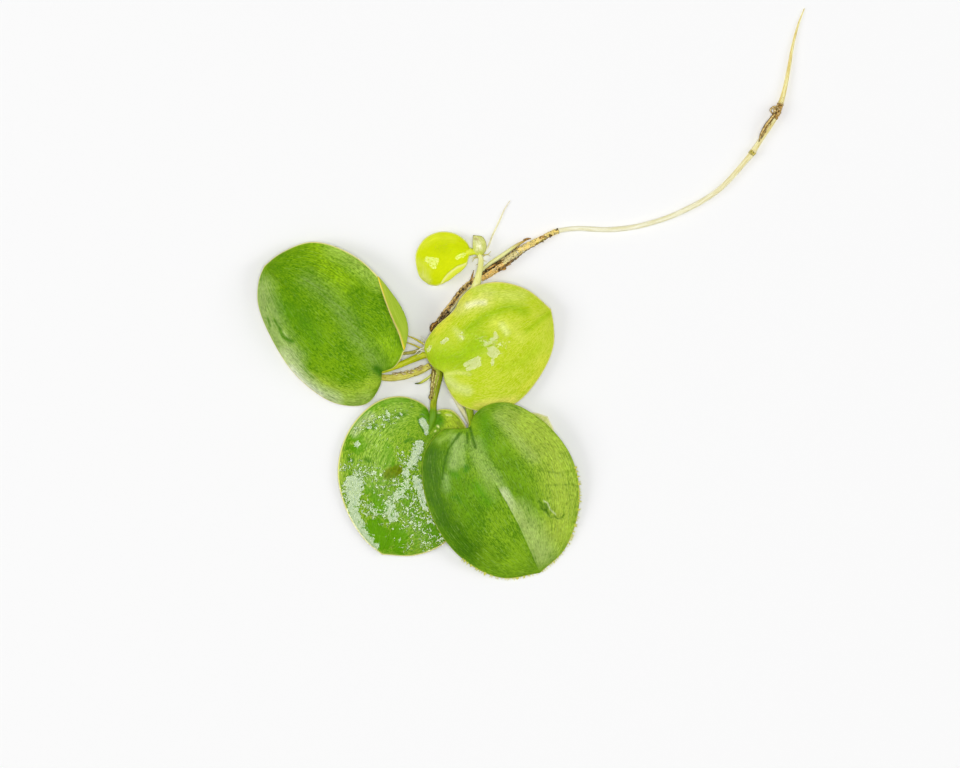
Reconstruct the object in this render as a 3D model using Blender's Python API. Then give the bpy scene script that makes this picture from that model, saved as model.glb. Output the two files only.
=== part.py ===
"""Amazon frogbit: one loose floating plant lying on a flat surface.

Rounded blades on stalks grow from a small crown, with one long root, and a runner that carries a
young plantlet. Places and sizes are in millimetres and are scaled to metres when a mesh is made.
X and Y lie in the surface, the origin is under the middle of the whole plant, and Z is up from the
surface that it rests on.
"""

import math
from dataclasses import dataclass, field

import bpy
import numpy as np

MM = 0.001
LEFT_HAND, RIGHT_HAND = 0, 1

# How finely the solids are divided.
BLADE_STATIONS = 20
BLADE_RINGS = 4
ROLL_RINGS = 3
SMALL_BLADE_STATIONS = 14
STEM_SIDES = 8
THREAD_SIDES = 6
STEM_STEP = 2.2
SPAN_STEPS = 24
FEWEST_STEM_ROWS = 4

# Every blade margin bends a little. A rolled margin adds to this. Where a section is narrow, the
# bend takes no more than this share of it.
SOFT_REACH = 3.0
SOFT_TURN = math.radians(16)
ROLL_BLEND = 0.09
MOST_OVERHANG = 0.5

# The pad of spongy tissue under a floating blade fades out towards the margin and both ends.
PAD_EDGE = 0.82
PAD_FADE = 1.6
PAD_END_FADE = 1.5

# The thickness falls to a thin edge over the last part of the blade, and to nothing at both ends.
EDGE_POWER = 7
END_FULLNESS = 2.2
END_POWER = 0.6

# A stem's end point stands this share of its radius past its last section.
CAP_SHARE = 0.5

# Lengths under this are taken as nothing, in mm.
TINY = 1e-9


@dataclass
class Roll:
    """A stretch of margin that curls over, between two stations from 0 at the notch to 1 at the tip."""

    side: int
    start: float
    end: float
    reach: float
    rise: float
    turn: float
    up: bool = True


@dataclass
class Blade:
    """One leaf blade, as x, y, z points: its midrib from the notch to the tip, and its margins between
    the two, the one on the left hand of that way first."""

    rib: list
    margins: tuple
    half_thickness: float
    pad: float
    colour: tuple
    roughness: float = 0.35
    bow: float = 2.0
    rib_lag: float = 1.6
    stations: int = BLADE_STATIONS
    rolls: list = field(default_factory=list)


LEAF_LEFT = Blade(
    rib=[(-26.8, -14.2, 4.3), (-33.5, -8.2, 5.6), (-41.5, -1.2, 4.6), (-48.0, 4.9, 2.2)],
    margins=(
        [
            (-27.1, -16.6, 3.2),
            (-29.7, -20.0, 1.5),
            (-35.4, -19.8, 0.6),
            (-41.9, -15.3, 0.4),
            (-46.1, -9.4, 0.5),
            (-49.1, -2.2, 0.9),
            (-49.0, 2.2, 1.6),
        ],
        [
            (-24.3, -13.1, 4.4),
            (-22.6, -9.6, 4.6),
            (-22.4, -5.6, 4.5),
            (-25.2, 0.0, 4.2),
            (-31.5, 6.5, 3.4),
            (-39.2, 9.2, 2.4),
            (-45.0, 7.2, 2.0),
        ],
    ),
    half_thickness=0.38,
    pad=1.5,
    colour=(0.13, 0.34, 0.01),
    bow=2.4,
    rolls=[
        Roll(side=RIGHT_HAND, start=0.17, end=0.47, reach=2.3, rise=0.75, turn=math.radians(172)),
        Roll(side=LEFT_HAND, start=0.22, end=0.80, reach=1.6, rise=0.7, turn=math.radians(58), up=False),
    ],
)

LEAF_UPPER_RIGHT = Blade(
    rib=[(-15.8, -14.3, 5.0), (-9.0, -10.4, 5.3), (-2.5, -6.6, 4.0), (3.6, -2.9, 2.2)],
    margins=(
        [
            (-18.0, -12.9, 4.4),
            (-19.2, -9.7, 4.0),
            (-17.5, -6.4, 3.5),
            (-13.4, -2.8, 3.9),
            (-10.7, 0.9, 4.4),
            (-6.1, 2.0, 3.9),
            (-0.7, 0.6, 2.7),
        ],
        [
            (-15.4, -16.2, 4.7),
            (-13.2, -19.7, 4.2),
            (-10.6, -21.0, 3.7),
            (-6.8, -21.2, 2.9),
            (-2.5, -19.7, 2.0),
            (1.7, -14.9, 1.4),
            (4.0, -9.8, 1.3),
            (4.1, -5.9, 1.6),
        ],
    ),
    half_thickness=0.32,
    pad=0.5,
    colour=(0.50, 0.66, 0.02),
    rolls=[Roll(side=LEFT_HAND, start=0.12, end=0.62, reach=1.5, rise=0.8, turn=math.radians(75), up=False)],
)

LEAF_LOWER_LEFT = Blade(
    rib=[(-18.4, -25.8, 2.1), (-21.0, -32.5, 2.4), (-24.2, -40.5, 1.9), (-26.8, -47.1, 0.8)],
    margins=(
        [
            (-17.6, -23.2, 2.1),
            (-16.4, -21.3, 2.0),
            (-14.2, -21.2, 1.8),
            (-11.8, -23.8, 1.5),
            (-10.2, -29.2, 1.2),
            (-10.7, -36.8, 1.0),
            (-15.2, -44.7, 0.8),
            (-20.7, -47.2, 0.7),
        ],
        [
            (-18.4, -23.2, 2.1),
            (-19.4, -20.4, 1.9),
            (-23.0, -18.6, 1.5),
            (-28.0, -19.7, 1.2),
            (-32.9, -24.9, 1.0),
            (-34.8, -32.0, 0.9),
            (-33.2, -39.2, 0.8),
            (-29.8, -44.6, 0.7),
        ],
    ),
    half_thickness=0.36,
    pad=1.9,
    colour=(0.18, 0.44, 0.02),
    roughness=0.12,
    rib_lag=1.9,
)

LEAF_LOWER_RIGHT = Blade(
    rib=[(-11.0, -24.1, 4.7), (-7.0, -32.0, 5.0), (-2.4, -41.5, 3.2), (1.6, -50.4, 0.2)],
    margins=(
        [
            (-10.3, -22.0, 4.9),
            (-7.7, -20.1, 4.8),
            (-3.7, -19.8, 4.4),
            (2.8, -23.6, 3.3),
            (7.5, -30.0, 2.2),
            (8.7, -37.7, 1.2),
            (6.2, -45.9, 0.35),
        ],
        [
            (-12.3, -24.4, 4.6),
            (-16.0, -24.7, 4.2),
            (-19.2, -28.9, 3.8),
            (-19.3, -35.5, 3.5),
            (-16.4, -43.1, 3.2),
            (-11.5, -48.5, 1.6),
            (-5.2, -51.3, 0.4),
        ],
    ),
    half_thickness=0.38,
    pad=1.3,
    colour=(0.12, 0.33, 0.02),
    bow=1.45,
)

YOUNG_LEAF = Blade(
    rib=[(-7.9, -31.0, 0.4), (-2.5, -26.6, 0.6), (3.0, -22.2, 0.4)],
    margins=(
        [(-7.2, -26.6, 0.4), (-3.6, -23.0, 0.4), (0.2, -21.5, 0.3)],
        [(-3.9, -32.0, 0.4), (1.3, -30.2, 0.4), (4.2, -25.6, 0.3)],
    ),
    half_thickness=0.26,
    pad=0.0,
    colour=(0.60, 0.70, 0.10),
    stations=SMALL_BLADE_STATIONS,
)

PLANTLET_LEAF = Blade(
    rib=[(-10.9, 7.4, 1.4), (-14.8, 5.4, 1.9), (-18.4, 1.5, 0.4)],
    margins=(
        [(-11.7, 5.1, 1.5), (-13.5, 3.7, 1.4), (-15.3, 2.3, 1.1), (-16.9, 1.3, 0.7)],
        [
            (-11.4, 8.9, 1.4),
            (-13.5, 10.6, 1.3),
            (-16.4, 11.0, 1.0),
            (-19.1, 9.8, 0.7),
            (-20.7, 7.2, 0.4),
            (-20.5, 4.2, 0.3),
        ],
    ),
    half_thickness=0.30,
    pad=0.5,
    colour=(0.62, 0.75, 0.0),
    roughness=0.2,
    rib_lag=1.2,
    stations=SMALL_BLADE_STATIONS,
    rolls=[Roll(side=LEFT_HAND, start=0.15, end=0.85, reach=1.1, rise=0.45, turn=math.radians(165))],
)

PLANTLET_SCALE = Blade(
    rib=[(-9.4, 6.5, 1.3), (-9.3, 8.5, 2.1), (-10.4, 10.4, 1.5)],
    margins=(
        [(-10.2, 7.2, 1.4), (-10.4, 8.9, 1.6)],
        [(-8.5, 7.0, 1.2), (-8.1, 8.5, 1.5), (-8.8, 10.0, 1.5)],
    ),
    half_thickness=0.14,
    pad=0.0,
    colour=(0.70, 0.74, 0.38),
    rib_lag=1.0,
    stations=10,
)

BLADES = {
    "leaf_left": LEAF_LEFT,
    "leaf_upper_right": LEAF_UPPER_RIGHT,
    "leaf_lower_left": LEAF_LOWER_LEFT,
    "leaf_lower_right": LEAF_LOWER_RIGHT,
    "young_leaf": YOUNG_LEAF,
    "plantlet_leaf": PLANTLET_LEAF,
    "plantlet_scale": PLANTLET_SCALE,
}


@dataclass
class Stem:
    """A round stalk, root or strand: x, y, z points along its middle, each with a radius."""

    route: list
    colour: tuple
    sides: int = STEM_SIDES
    step: float = STEM_STEP


GREEN = (0.28, 0.40, 0.02)
OLD_YELLOW = (0.50, 0.40, 0.07)
PALE = (0.70, 0.74, 0.30)
CREAM = (0.75, 0.72, 0.42)

STEMS = {
    "stalk_left": Stem(
        route=[
            (-19.3, -11.2, 1.9, 0.62),
            (-21.2, -11.9, 2.1, 0.60),
            (-24.2, -13.2, 2.6, 0.52),
            (-26.2, -13.9, 2.9, 0.42),
        ],
        colour=GREEN,
    ),
    "stalk_upper_right": Stem(
        route=[(-14.7, -10.4, 2.5, 0.50), (-14.2, -12.0, 3.1, 0.52), (-15.0, -13.7, 3.6, 0.40)],
        colour=GREEN,
        step=1.2,
    ),
    "stalk_lower_left": Stem(
        route=[
            (-16.8, -14.2, 1.5, 0.95),
            (-17.1, -16.6, 1.4, 0.85),
            (-17.6, -19.8, 1.1, 0.62),
            (-17.9, -22.2, 0.6, 0.54),
            (-18.0, -23.8, 0.42, 0.40),
        ],
        colour=GREEN,
    ),
    "stalk_lower_right": Stem(
        route=[
            (-14.9, -13.2, 1.4, 0.60),
            (-13.6, -16.4, 1.6, 0.65),
            (-11.5, -19.8, 2.1, 0.68),
            (-10.8, -22.3, 2.8, 0.60),
            (-10.7, -23.6, 3.2, 0.45),
        ],
        colour=GREEN,
    ),
    "stalk_young": Stem(
        route=[
            (-15.2, -15.6, 0.7, 0.42),
            (-14.0, -18.2, 0.65, 0.48),
            (-12.2, -21.3, 0.55, 0.48),
            (-10.4, -24.6, 0.5, 0.45),
            (-9.0, -28.2, 0.5, 0.42),
            (-8.5, -29.8, 0.5, 0.32),
        ],
        colour=CREAM,
    ),
    "old_stalk": Stem(
        route=[
            (-19.1, -13.6, 0.9, 0.52),
            (-21.6, -14.6, 0.85, 0.62),
            (-24.6, -15.2, 0.8, 0.60),
            (-27.4, -15.1, 0.7, 0.50),
            (-29.2, -14.4, 0.6, 0.35),
        ],
        colour=OLD_YELLOW,
    ),
    "thin_stalk": Stem(
        route=[(-19.3, -9.9, 1.0, 0.28), (-21.0, -10.6, 0.9, 0.30), (-24.0, -11.0, 0.7, 0.26)],
        colour=OLD_YELLOW,
        sides=THREAD_SIDES,
    ),
    "sprout": Stem(
        route=[
            (-18.2, -15.0, 0.7, 0.20),
            (-19.1, -15.7, 0.7, 0.22),
            (-20.0, -16.2, 0.6, 0.18),
            (-20.8, -16.3, 0.5, 0.10),
        ],
        colour=PALE,
        sides=THREAD_SIDES,
        step=0.7,
    ),
    "runner": Stem(
        route=[
            (-14.6, -9.0, 1.5, 0.70),
            (-12.4, -4.6, 1.9, 0.85),
            (-10.2, 0.4, 2.3, 0.80),
            (-9.4, 3.3, 2.5, 0.55),
            (-9.0, 6.0, 1.4, 0.48),
        ],
        colour=PALE,
    ),
    "plantlet_root": Stem(
        route=[
            (-7.8, 8.2, 0.5, 0.14),
            (-6.9, 10.2, 0.2, 0.14),
            (-5.4, 13.2, 0.15, 0.12),
            (-4.0, 16.0, 0.12, 0.08),
        ],
        colour=CREAM,
        sides=THREAD_SIDES,
    ),
    "main_root": Stem(
        route=[
            (-16.9, -8.6, 0.8, 0.60),
            (-17.3, -6.6, 0.8, 0.62),
            (-16.2, -4.3, 0.75, 0.65),
            (-14.4, -1.9, 0.75, 0.62),
            (-12.4, 0.8, 0.75, 0.62),
            (-10.4, 2.3, 0.70, 0.62),
            (-8.3, 3.3, 0.75, 0.70),
            (-6.0, 4.7, 0.85, 0.80),
            (-3.4, 6.5, 0.80, 0.74),
            (-1.2, 8.2, 0.70, 0.66),
            (1.4, 9.4, 0.60, 0.54),
            (4.7, 11.1, 0.50, 0.48),
            (8.1, 11.6, 0.50, 0.48),
            (14.0, 11.4, 0.52, 0.50),
            (19.6, 12.1, 0.52, 0.50),
            (26.6, 14.4, 0.52, 0.50),
            (33.7, 18.5, 0.52, 0.50),
            (38.5, 23.6, 0.52, 0.48),
            (39.8, 25.2, 0.64, 0.60),
            (41.1, 27.2, 0.54, 0.48),
            (43.0, 30.1, 0.66, 0.60),
            (44.4, 32.8, 0.72, 0.66),
            (45.3, 35.3, 0.50, 0.44),
            (46.3, 39.9, 0.40, 0.34),
            (47.2, 45.0, 0.28, 0.24),
            (48.2, 48.6, 0.20, 0.17),
            (49.2, 51.2, 0.12, 0.08),
        ],
        colour=CREAM,
        step=1.5,
    ),
    "root_strand": Stem(
        route=[
            (-7.8, 5.5, 0.65, 0.30),
            (-5.2, 7.1, 0.70, 0.32),
            (-2.8, 8.9, 0.65, 0.30),
            (-1.0, 9.7, 0.55, 0.16),
        ],
        colour=PALE,
        sides=THREAD_SIDES,
    ),
    "rootlet_upper": Stem(
        route=[(-19.2, -9.3, 1.3, 0.18), (-20.6, -8.4, 1.1, 0.17), (-21.8, -7.9, 0.7, 0.12)],
        colour=OLD_YELLOW,
        sides=THREAD_SIDES,
        step=1.0,
    ),
    "rootlet_lower": Stem(
        route=[(-19.9, -9.9, 1.9, 0.15), (-21.0, -9.4, 1.5, 0.15), (-22.0, -9.0, 1.1, 0.10)],
        colour=OLD_YELLOW,
        sides=THREAD_SIDES,
        step=1.0,
    ),
}

# The crown, a low lumpy knot: its middle, half sizes and lumps round it.
CROWN_MIDDLE = (-16.9, -11.4, 1.35)
CROWN_HALF = (1.75, 1.85, 1.35)
CROWN_SIDES = 12
CROWN_ROWS = 7
CROWN_LUMPS = 5
CROWN_LUMP_DEPTH = 0.10
CROWN_COLOUR = (0.20, 0.14, 0.04)
CROWN_ROUGHNESS = 0.7
STEM_ROUGHNESS = 0.45


def smooth_path(points, stations):
    """Places on a smooth curve through the points, at shares of its length from 0 to 1."""
    knots = np.asarray(points, float)
    padded = np.vstack([2 * knots[0] - knots[1], knots, 2 * knots[-1] - knots[-2]])
    span_share = np.linspace(0.0, 1.0, SPAN_STEPS, endpoint=False)
    spans = []
    for before, start, end, after in zip(padded, padded[1:], padded[2:], padded[3:]):
        spans.append(catmull_rom(before, start, end, after, span_share))
    curve = np.vstack(spans + [knots[-1:]])
    lengths = np.linalg.norm(np.diff(curve, axis=0), axis=1)
    travelled = np.concatenate([[0.0], np.cumsum(lengths)]) / lengths.sum()
    columns = [np.interp(stations, travelled, curve[:, axis]) for axis in range(curve.shape[1])]
    return np.stack(columns, axis=1)


def catmull_rom(before, start, end, after, share):
    """One span of a centripetal curve from start to end."""
    times = [0.0]
    for first, second in ((before, start), (start, end), (end, after)):
        times.append(times[-1] + math.sqrt(max(np.linalg.norm(second - first), TINY)))
    t0, t1, t2, t3 = times
    t = (t1 + (t2 - t1) * share)[:, None]
    a1 = ((t1 - t) * before + (t - t0) * start) / (t1 - t0)
    a2 = ((t2 - t) * start + (t - t1) * end) / (t2 - t1)
    a3 = ((t3 - t) * end + (t - t2) * after) / (t3 - t2)
    b1 = ((t2 - t) * a1 + (t - t0) * a2) / (t2 - t0)
    b2 = ((t3 - t) * a2 + (t - t1) * a3) / (t3 - t1)
    return ((t2 - t) * b1 + (t - t1) * b2) / (t2 - t1)


def ease(value):
    """A smooth step from 0 to 1."""
    held = np.clip(value, 0.0, 1.0)
    return held * held * (3 - 2 * held)


def roll_at(blade, side, stations):
    """The reach, rise, turn and direction of the margin's bend at each station."""
    reach = np.full(len(stations), SOFT_REACH)
    rise = np.full(len(stations), SOFT_REACH)
    turn = np.full(len(stations), SOFT_TURN)
    upward = np.full(len(stations), -1.0)
    for roll in blade.rolls:
        if roll.side != side:
            continue
        share = ease((stations - roll.start) / ROLL_BLEND + 0.5)
        share = share * ease((roll.end - stations) / ROLL_BLEND + 0.5)
        reach += share * (roll.reach - reach)
        rise += share * (roll.rise - rise)
        turn += share * (roll.turn - turn)
        if roll.up:
            upward += share * (1.0 - upward)
    return reach, rise, turn, upward


def bend_section(blade, side, stations, width, ring_count, roll_count):
    """How far out from the midrib each ring of each section lies, and how far its bend lifts it."""
    reach, rise, turn, upward = roll_at(blade, side, stations)
    overhang = reach * np.sin(np.minimum(turn, math.pi / 2))
    shrink = np.minimum(1.0, MOST_OVERHANG * width / np.maximum(overhang, TINY))
    inner = (width - overhang * shrink)[:, None]
    angle = turn[:, None] * np.linspace(0.0, 1.0, roll_count + 1)[1:]
    flat = inner * np.linspace(0.0, 1.0, ring_count + 1)
    bend = inner + (reach * shrink)[:, None] * np.sin(angle)
    lift = (upward * rise * shrink)[:, None] * (1 - np.cos(angle))
    return np.hstack([flat, bend]), np.hstack([np.zeros_like(flat), lift])


def blade_thickness(blade, stations, ring):
    """How far the top and the underside stand off the middle of the blade. A ring is 0 at the midrib
    and 1 at the margin."""
    ends = np.sin(math.pi * stations)[:, None]
    half = blade.half_thickness * np.sqrt(np.maximum(1 - ring**EDGE_POWER, 0.0))
    half = half * np.minimum(1.0, END_FULLNESS * ends**END_POWER)
    pad = blade.pad * ease((1 - ring / PAD_EDGE) * PAD_FADE) * ease(PAD_END_FADE * ends)
    return half, half + pad


def blade_half(blade, side, stations, ring_count, roll_count):
    """Top and bottom points of one half of a blade, as (station, ring, xyz) arrays.

    Each section runs from the midrib out to where the margin starts to bend, and then along the
    bend. The thickness is laid off square to the section.
    """
    rib = smooth_path(blade.rib, stations**blade.rib_lag)
    margin = smooth_path([blade.rib[0], *blade.margins[side], blade.rib[-1]], stations)
    across = margin[:, :2] - rib[:, :2]
    width = np.linalg.norm(across, axis=1)
    outward = across / np.maximum(width, TINY)[:, None]

    distance, lift = bend_section(blade, side, stations, width, ring_count, roll_count)
    share = distance / np.maximum(width, TINY)[:, None]
    height = rib[:, 2:] + (margin[:, 2:] - rib[:, 2:]) * share**blade.bow + lift

    steps = np.hypot(np.diff(distance, axis=1), np.diff(height, axis=1))
    travelled = np.hstack([np.zeros((len(stations), 1)), np.cumsum(steps, axis=1)])
    ring = travelled / np.maximum(travelled[:, -1:], TINY)
    above, below = blade_thickness(blade, stations, ring)

    along = np.gradient(distance, axis=1)
    up = np.gradient(height, axis=1)
    length = np.maximum(np.hypot(along, up), TINY)

    def place(offset):
        plan = distance - up / length * offset
        xy = rib[:, None, :2] + outward[:, None, :] * plan[:, :, None]
        return np.dstack([xy, height + along / length * offset])

    return place(above), place(-below)


def ring_faces(grid, notch, tip):
    """Faces between the rings of one face of a half: a corner at the notch, a strip, a corner at the tip."""
    faces = []
    for inner, outer in zip(grid.T.tolist(), grid.T[1:].tolist()):
        faces.append((notch, inner[0], outer[0]))
        for row in range(len(inner) - 1):
            faces.append((inner[row], inner[row + 1], outer[row + 1], outer[row]))
        faces.append((inner[-1], tip, outer[-1]))
    return faces


def blade_solid(blade, ring_count=BLADE_RINGS, roll_count=ROLL_RINGS):
    """Points and faces of a closed blade. The halves share the midrib, and top and bottom the margin."""
    stations = np.linspace(0.0, 1.0, blade.stations + 1)[1:-1]
    notch, tip = 0, 1
    points = [np.array([blade.rib[0], blade.rib[-1]])]
    count = 2
    grids = {}
    for side in (LEFT_HAND, RIGHT_HAND):
        top, bottom = blade_half(blade, side, stations, ring_count, roll_count)
        top[:, -1] = (top[:, -1] + bottom[:, -1]) / 2
        for face, rows in (("top", top), ("bottom", bottom)):
            grid = np.zeros(rows.shape[:2], int)
            first = 0 if side == LEFT_HAND else 1
            last = rows.shape[1] - (1 if face == "bottom" else 0)
            own = rows[:, first:last].reshape(-1, 3)
            grid[:, first:last] = np.arange(count, count + len(own)).reshape(len(stations), -1)
            if side == RIGHT_HAND:
                grid[:, 0] = grids[face, LEFT_HAND][:, 0]
            if face == "bottom":
                grid[:, -1] = grids["top", side][:, -1]
            grids[face, side] = grid
            points.append(own)
            count += len(own)

    faces = []
    for (face, side), grid in grids.items():
        flipped = (face == "top") == (side == RIGHT_HAND)
        for loop in ring_faces(grid, notch, tip):
            faces.append(loop[::-1] if flipped else loop)
    return on_surface(np.vstack(points)), faces


def on_surface(points):
    """The points, with none of them under the surface that the plant lies on."""
    points[:, 2] = np.maximum(points[:, 2], 0.0)
    return points


def stem_solid(stem):
    """Points and faces of a closed round stem along its route, with a short rounded end at each end."""
    knots = np.asarray(stem.route, float)
    length = np.linalg.norm(np.diff(knots[:, :3], axis=0), axis=1).sum()
    rows = max(FEWEST_STEM_ROWS, round(length / stem.step))
    path = smooth_path(stem.route, np.linspace(0.0, 1.0, rows + 1))
    places, radii = path[:, :3], path[:, 3]
    ahead = np.gradient(places, axis=0)
    ahead /= np.linalg.norm(ahead, axis=1)[:, None]
    beside = np.cross((0.0, 0.0, 1.0), ahead)
    beside /= np.linalg.norm(beside, axis=1)[:, None]
    above = np.cross(ahead, beside)

    turns = np.linspace(0.0, 2 * math.pi, stem.sides, endpoint=False)[:, None]
    spokes = np.cos(turns) * beside[:, None] + np.sin(turns) * above[:, None]
    rings = places[:, None] + radii[:, None, None] * spokes
    start_cap = places[0] - CAP_SHARE * radii[0] * ahead[0]
    end_cap = places[-1] + CAP_SHARE * radii[-1] * ahead[-1]
    points = np.vstack([rings.reshape(-1, 3), start_cap, end_cap])
    return on_surface(points), tube_faces(rows, stem.sides)


def tube_faces(rows, sides):
    """Faces of a closed tube. Its rings come first among its points, and its two end points last."""
    start_cap = (rows + 1) * sides
    end_cap = start_cap + 1
    last_ring = rows * sides
    faces = []
    for side in range(sides):
        after = (side + 1) % sides
        faces.append((start_cap, after, side))
        for ring in range(0, last_ring, sides):
            faces.append((ring + side, ring + after, ring + sides + after, ring + sides + side))
        faces.append((end_cap, last_ring + side, last_ring + after))
    return faces


def crown_solid():
    """Points and faces of the crown: a squat ball with a few lumps."""
    middle, half = np.array(CROWN_MIDDLE), np.array(CROWN_HALF)
    points = []
    for row in range(1, CROWN_ROWS):
        polar = math.pi * row / CROWN_ROWS
        outward = math.sin(polar)
        for side in range(CROWN_SIDES):
            turn = 2 * math.pi * side / CROWN_SIDES
            lump = 1 + CROWN_LUMP_DEPTH * math.cos(CROWN_LUMPS * turn) * outward
            ray = np.array((outward * math.cos(turn), outward * math.sin(turn), math.cos(polar)))
            points.append(middle + half * ray * lump)
    bottom, top = len(points), len(points) + 1
    points.append(middle - (0.0, 0.0, half[2]))
    points.append(middle + (0.0, 0.0, half[2]))

    faces = []
    last_row = (CROWN_ROWS - 2) * CROWN_SIDES
    for side in range(CROWN_SIDES):
        after = (side + 1) % CROWN_SIDES
        faces.append((top, side, after))
        for row in range(0, last_row, CROWN_SIDES):
            below = row + CROWN_SIDES
            faces.append((row + side, below + side, below + after, row + after))
        faces.append((last_row + after, last_row + side, bottom))
    return np.array(points), faces


def clear_scene():
    for old in list(bpy.data.objects):
        bpy.data.objects.remove(old, do_unlink=True)


def plain_material(name, colour, roughness):
    material = bpy.data.materials.new(name)
    material.use_nodes = True
    shader = material.node_tree.nodes["Principled BSDF"]
    shader.inputs["Base Color"].default_value = (*colour, 1.0)
    shader.inputs["Roughness"].default_value = roughness
    shader.inputs["Metallic"].default_value = 0.0
    return material


def add_piece(name, solid, colour, roughness, plant):
    """A named mesh object, in metres, under the plant's empty."""
    points, faces = solid
    mesh = bpy.data.meshes.new(name)
    mesh.from_pydata((MM * points).tolist(), [], faces)
    mesh.validate()
    mesh.shade_smooth()
    piece = bpy.data.objects.new(name, mesh)
    piece.parent = plant
    bpy.context.scene.collection.objects.link(piece)
    mesh.materials.append(plain_material(name, colour, roughness))
    return piece


def build():
    clear_scene()
    plant = bpy.data.objects.new("plant", None)
    bpy.context.scene.collection.objects.link(plant)
    add_piece("crown", crown_solid(), CROWN_COLOUR, CROWN_ROUGHNESS, plant)
    for name, blade in BLADES.items():
        add_piece(name, blade_solid(blade), blade.colour, blade.roughness, plant)
    for name, stem in STEMS.items():
        add_piece(name, stem_solid(stem), stem.colour, STEM_ROUGHNESS, plant)


build()
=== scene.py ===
"""The finished look of one amazon frogbit plant, lying loose on a white surface and seen from above.

Each solid of the frame is stood for by a finely divided mesh of the same form, with veins, ribs, bark
and torn edges, and with a painted material of its own. Places and sizes are in millimetres, in the
frame's axes, and are scaled to metres when a mesh is made.
"""

import math
from dataclasses import dataclass, field

import bpy
import numpy as np
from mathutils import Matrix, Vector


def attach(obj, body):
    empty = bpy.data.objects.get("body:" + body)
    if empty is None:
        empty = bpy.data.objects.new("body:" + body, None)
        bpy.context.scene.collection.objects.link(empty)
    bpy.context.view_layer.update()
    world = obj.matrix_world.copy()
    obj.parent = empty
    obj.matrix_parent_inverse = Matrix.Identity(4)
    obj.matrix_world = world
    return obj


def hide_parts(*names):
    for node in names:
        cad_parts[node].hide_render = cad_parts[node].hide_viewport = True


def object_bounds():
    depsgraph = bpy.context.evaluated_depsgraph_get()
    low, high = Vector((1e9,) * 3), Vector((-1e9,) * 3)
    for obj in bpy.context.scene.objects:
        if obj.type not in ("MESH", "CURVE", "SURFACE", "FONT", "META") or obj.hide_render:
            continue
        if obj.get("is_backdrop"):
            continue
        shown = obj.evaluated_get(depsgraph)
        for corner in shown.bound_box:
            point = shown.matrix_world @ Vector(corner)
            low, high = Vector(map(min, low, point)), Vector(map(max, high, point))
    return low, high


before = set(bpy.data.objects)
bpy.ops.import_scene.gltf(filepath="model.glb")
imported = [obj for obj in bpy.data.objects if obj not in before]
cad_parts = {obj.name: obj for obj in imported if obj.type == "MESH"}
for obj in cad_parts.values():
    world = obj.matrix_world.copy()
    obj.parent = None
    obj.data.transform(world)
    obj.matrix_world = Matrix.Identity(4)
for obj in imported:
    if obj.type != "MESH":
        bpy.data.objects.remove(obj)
CAD_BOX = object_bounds()

MM = 0.001
LEFT_HAND, RIGHT_HAND = 0, 1
TINY = 1e-9
SPAN_STEPS = 24
SIDE_BLEND = 0.3

# The bend of every margin, with its turn in degrees, the pad under a blade, and how thickness falls off.
SOFT_REACH = 3.0
SOFT_TURN = 16
ROLL_BLEND = 0.09
MOST_OVERHANG = 0.5
FOLD_FULLNESS = 0.8
PAD_EDGE = 0.82
PAD_FADE = 1.6
PAD_END_FADE = 1.5
EDGE_POWER = 5
EDGE_THINNING = 0.45
END_FULLNESS = 2.2
END_POWER = 0.6

# How finely the meshes are divided.
BLADE_STATIONS = 170
BLADE_RINGS = 56
ROLL_RINGS = 14
SMALL = dict(stations=70, rings=22)
STEM_SIDES = 28
STEM_STEP = 0.22


# Small helpers for places, curves and noise.


def ease(value):
    """A smooth step from 0 to 1."""
    held = np.clip(value, 0.0, 1.0)
    return held * held * (3 - 2 * held)


def unit(vectors):
    """The vectors along the last axis with a length of 1."""
    return vectors / np.maximum(np.linalg.norm(vectors, axis=-1, keepdims=True), TINY)


def smooth_path(points, stations):
    """Places on a smooth curve through the points, at shares of its length from 0 to 1."""
    knots = np.asarray(points, float)
    padded = np.vstack([2 * knots[0] - knots[1], knots, 2 * knots[-1] - knots[-2]])
    span_share = np.linspace(0.0, 1.0, SPAN_STEPS, endpoint=False)
    spans = []
    for before, start, end, after in zip(padded, padded[1:], padded[2:], padded[3:]):
        spans.append(catmull_rom(before, start, end, after, span_share))
    curve = np.vstack(spans + [knots[-1:]])
    lengths = np.linalg.norm(np.diff(curve, axis=0), axis=1)
    travelled = np.concatenate([[0.0], np.cumsum(lengths)]) / lengths.sum()
    columns = [np.interp(stations, travelled, curve[:, axis]) for axis in range(curve.shape[1])]
    return np.stack(columns, axis=1)


def catmull_rom(before, start, end, after, share):
    """One span of a centripetal curve from start to end."""
    times = [0.0]
    for first, second in ((before, start), (start, end), (end, after)):
        times.append(times[-1] + math.sqrt(max(np.linalg.norm(second - first), TINY)))
    t0, t1, t2, t3 = times
    t = (t1 + (t2 - t1) * share)[:, None]
    a1 = ((t1 - t) * before + (t - t0) * start) / (t1 - t0)
    a2 = ((t2 - t) * start + (t - t1) * end) / (t2 - t1)
    a3 = ((t3 - t) * end + (t - t2) * after) / (t3 - t2)
    b1 = ((t2 - t) * a1 + (t - t0) * a2) / (t2 - t0)
    b2 = ((t3 - t) * a2 + (t - t1) * a3) / (t3 - t1)
    return ((t2 - t) * b1 + (t - t1) * b2) / (t2 - t1)


def lattice_value(cells, seed):
    """A repeatable value from -1 to 1 for each whole-numbered cell."""
    mixed = np.full(len(cells), seed * 7919 + 17, np.uint64)
    for axis in range(cells.shape[1]):
        mixed = (mixed ^ cells[:, axis].astype(np.int64).view(np.uint64)) * np.uint64(0x9E3779B97F4A7C15)
        mixed ^= mixed >> np.uint64(29)
    return (mixed >> np.uint64(11)).astype(float) / 2**52 - 1


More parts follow.
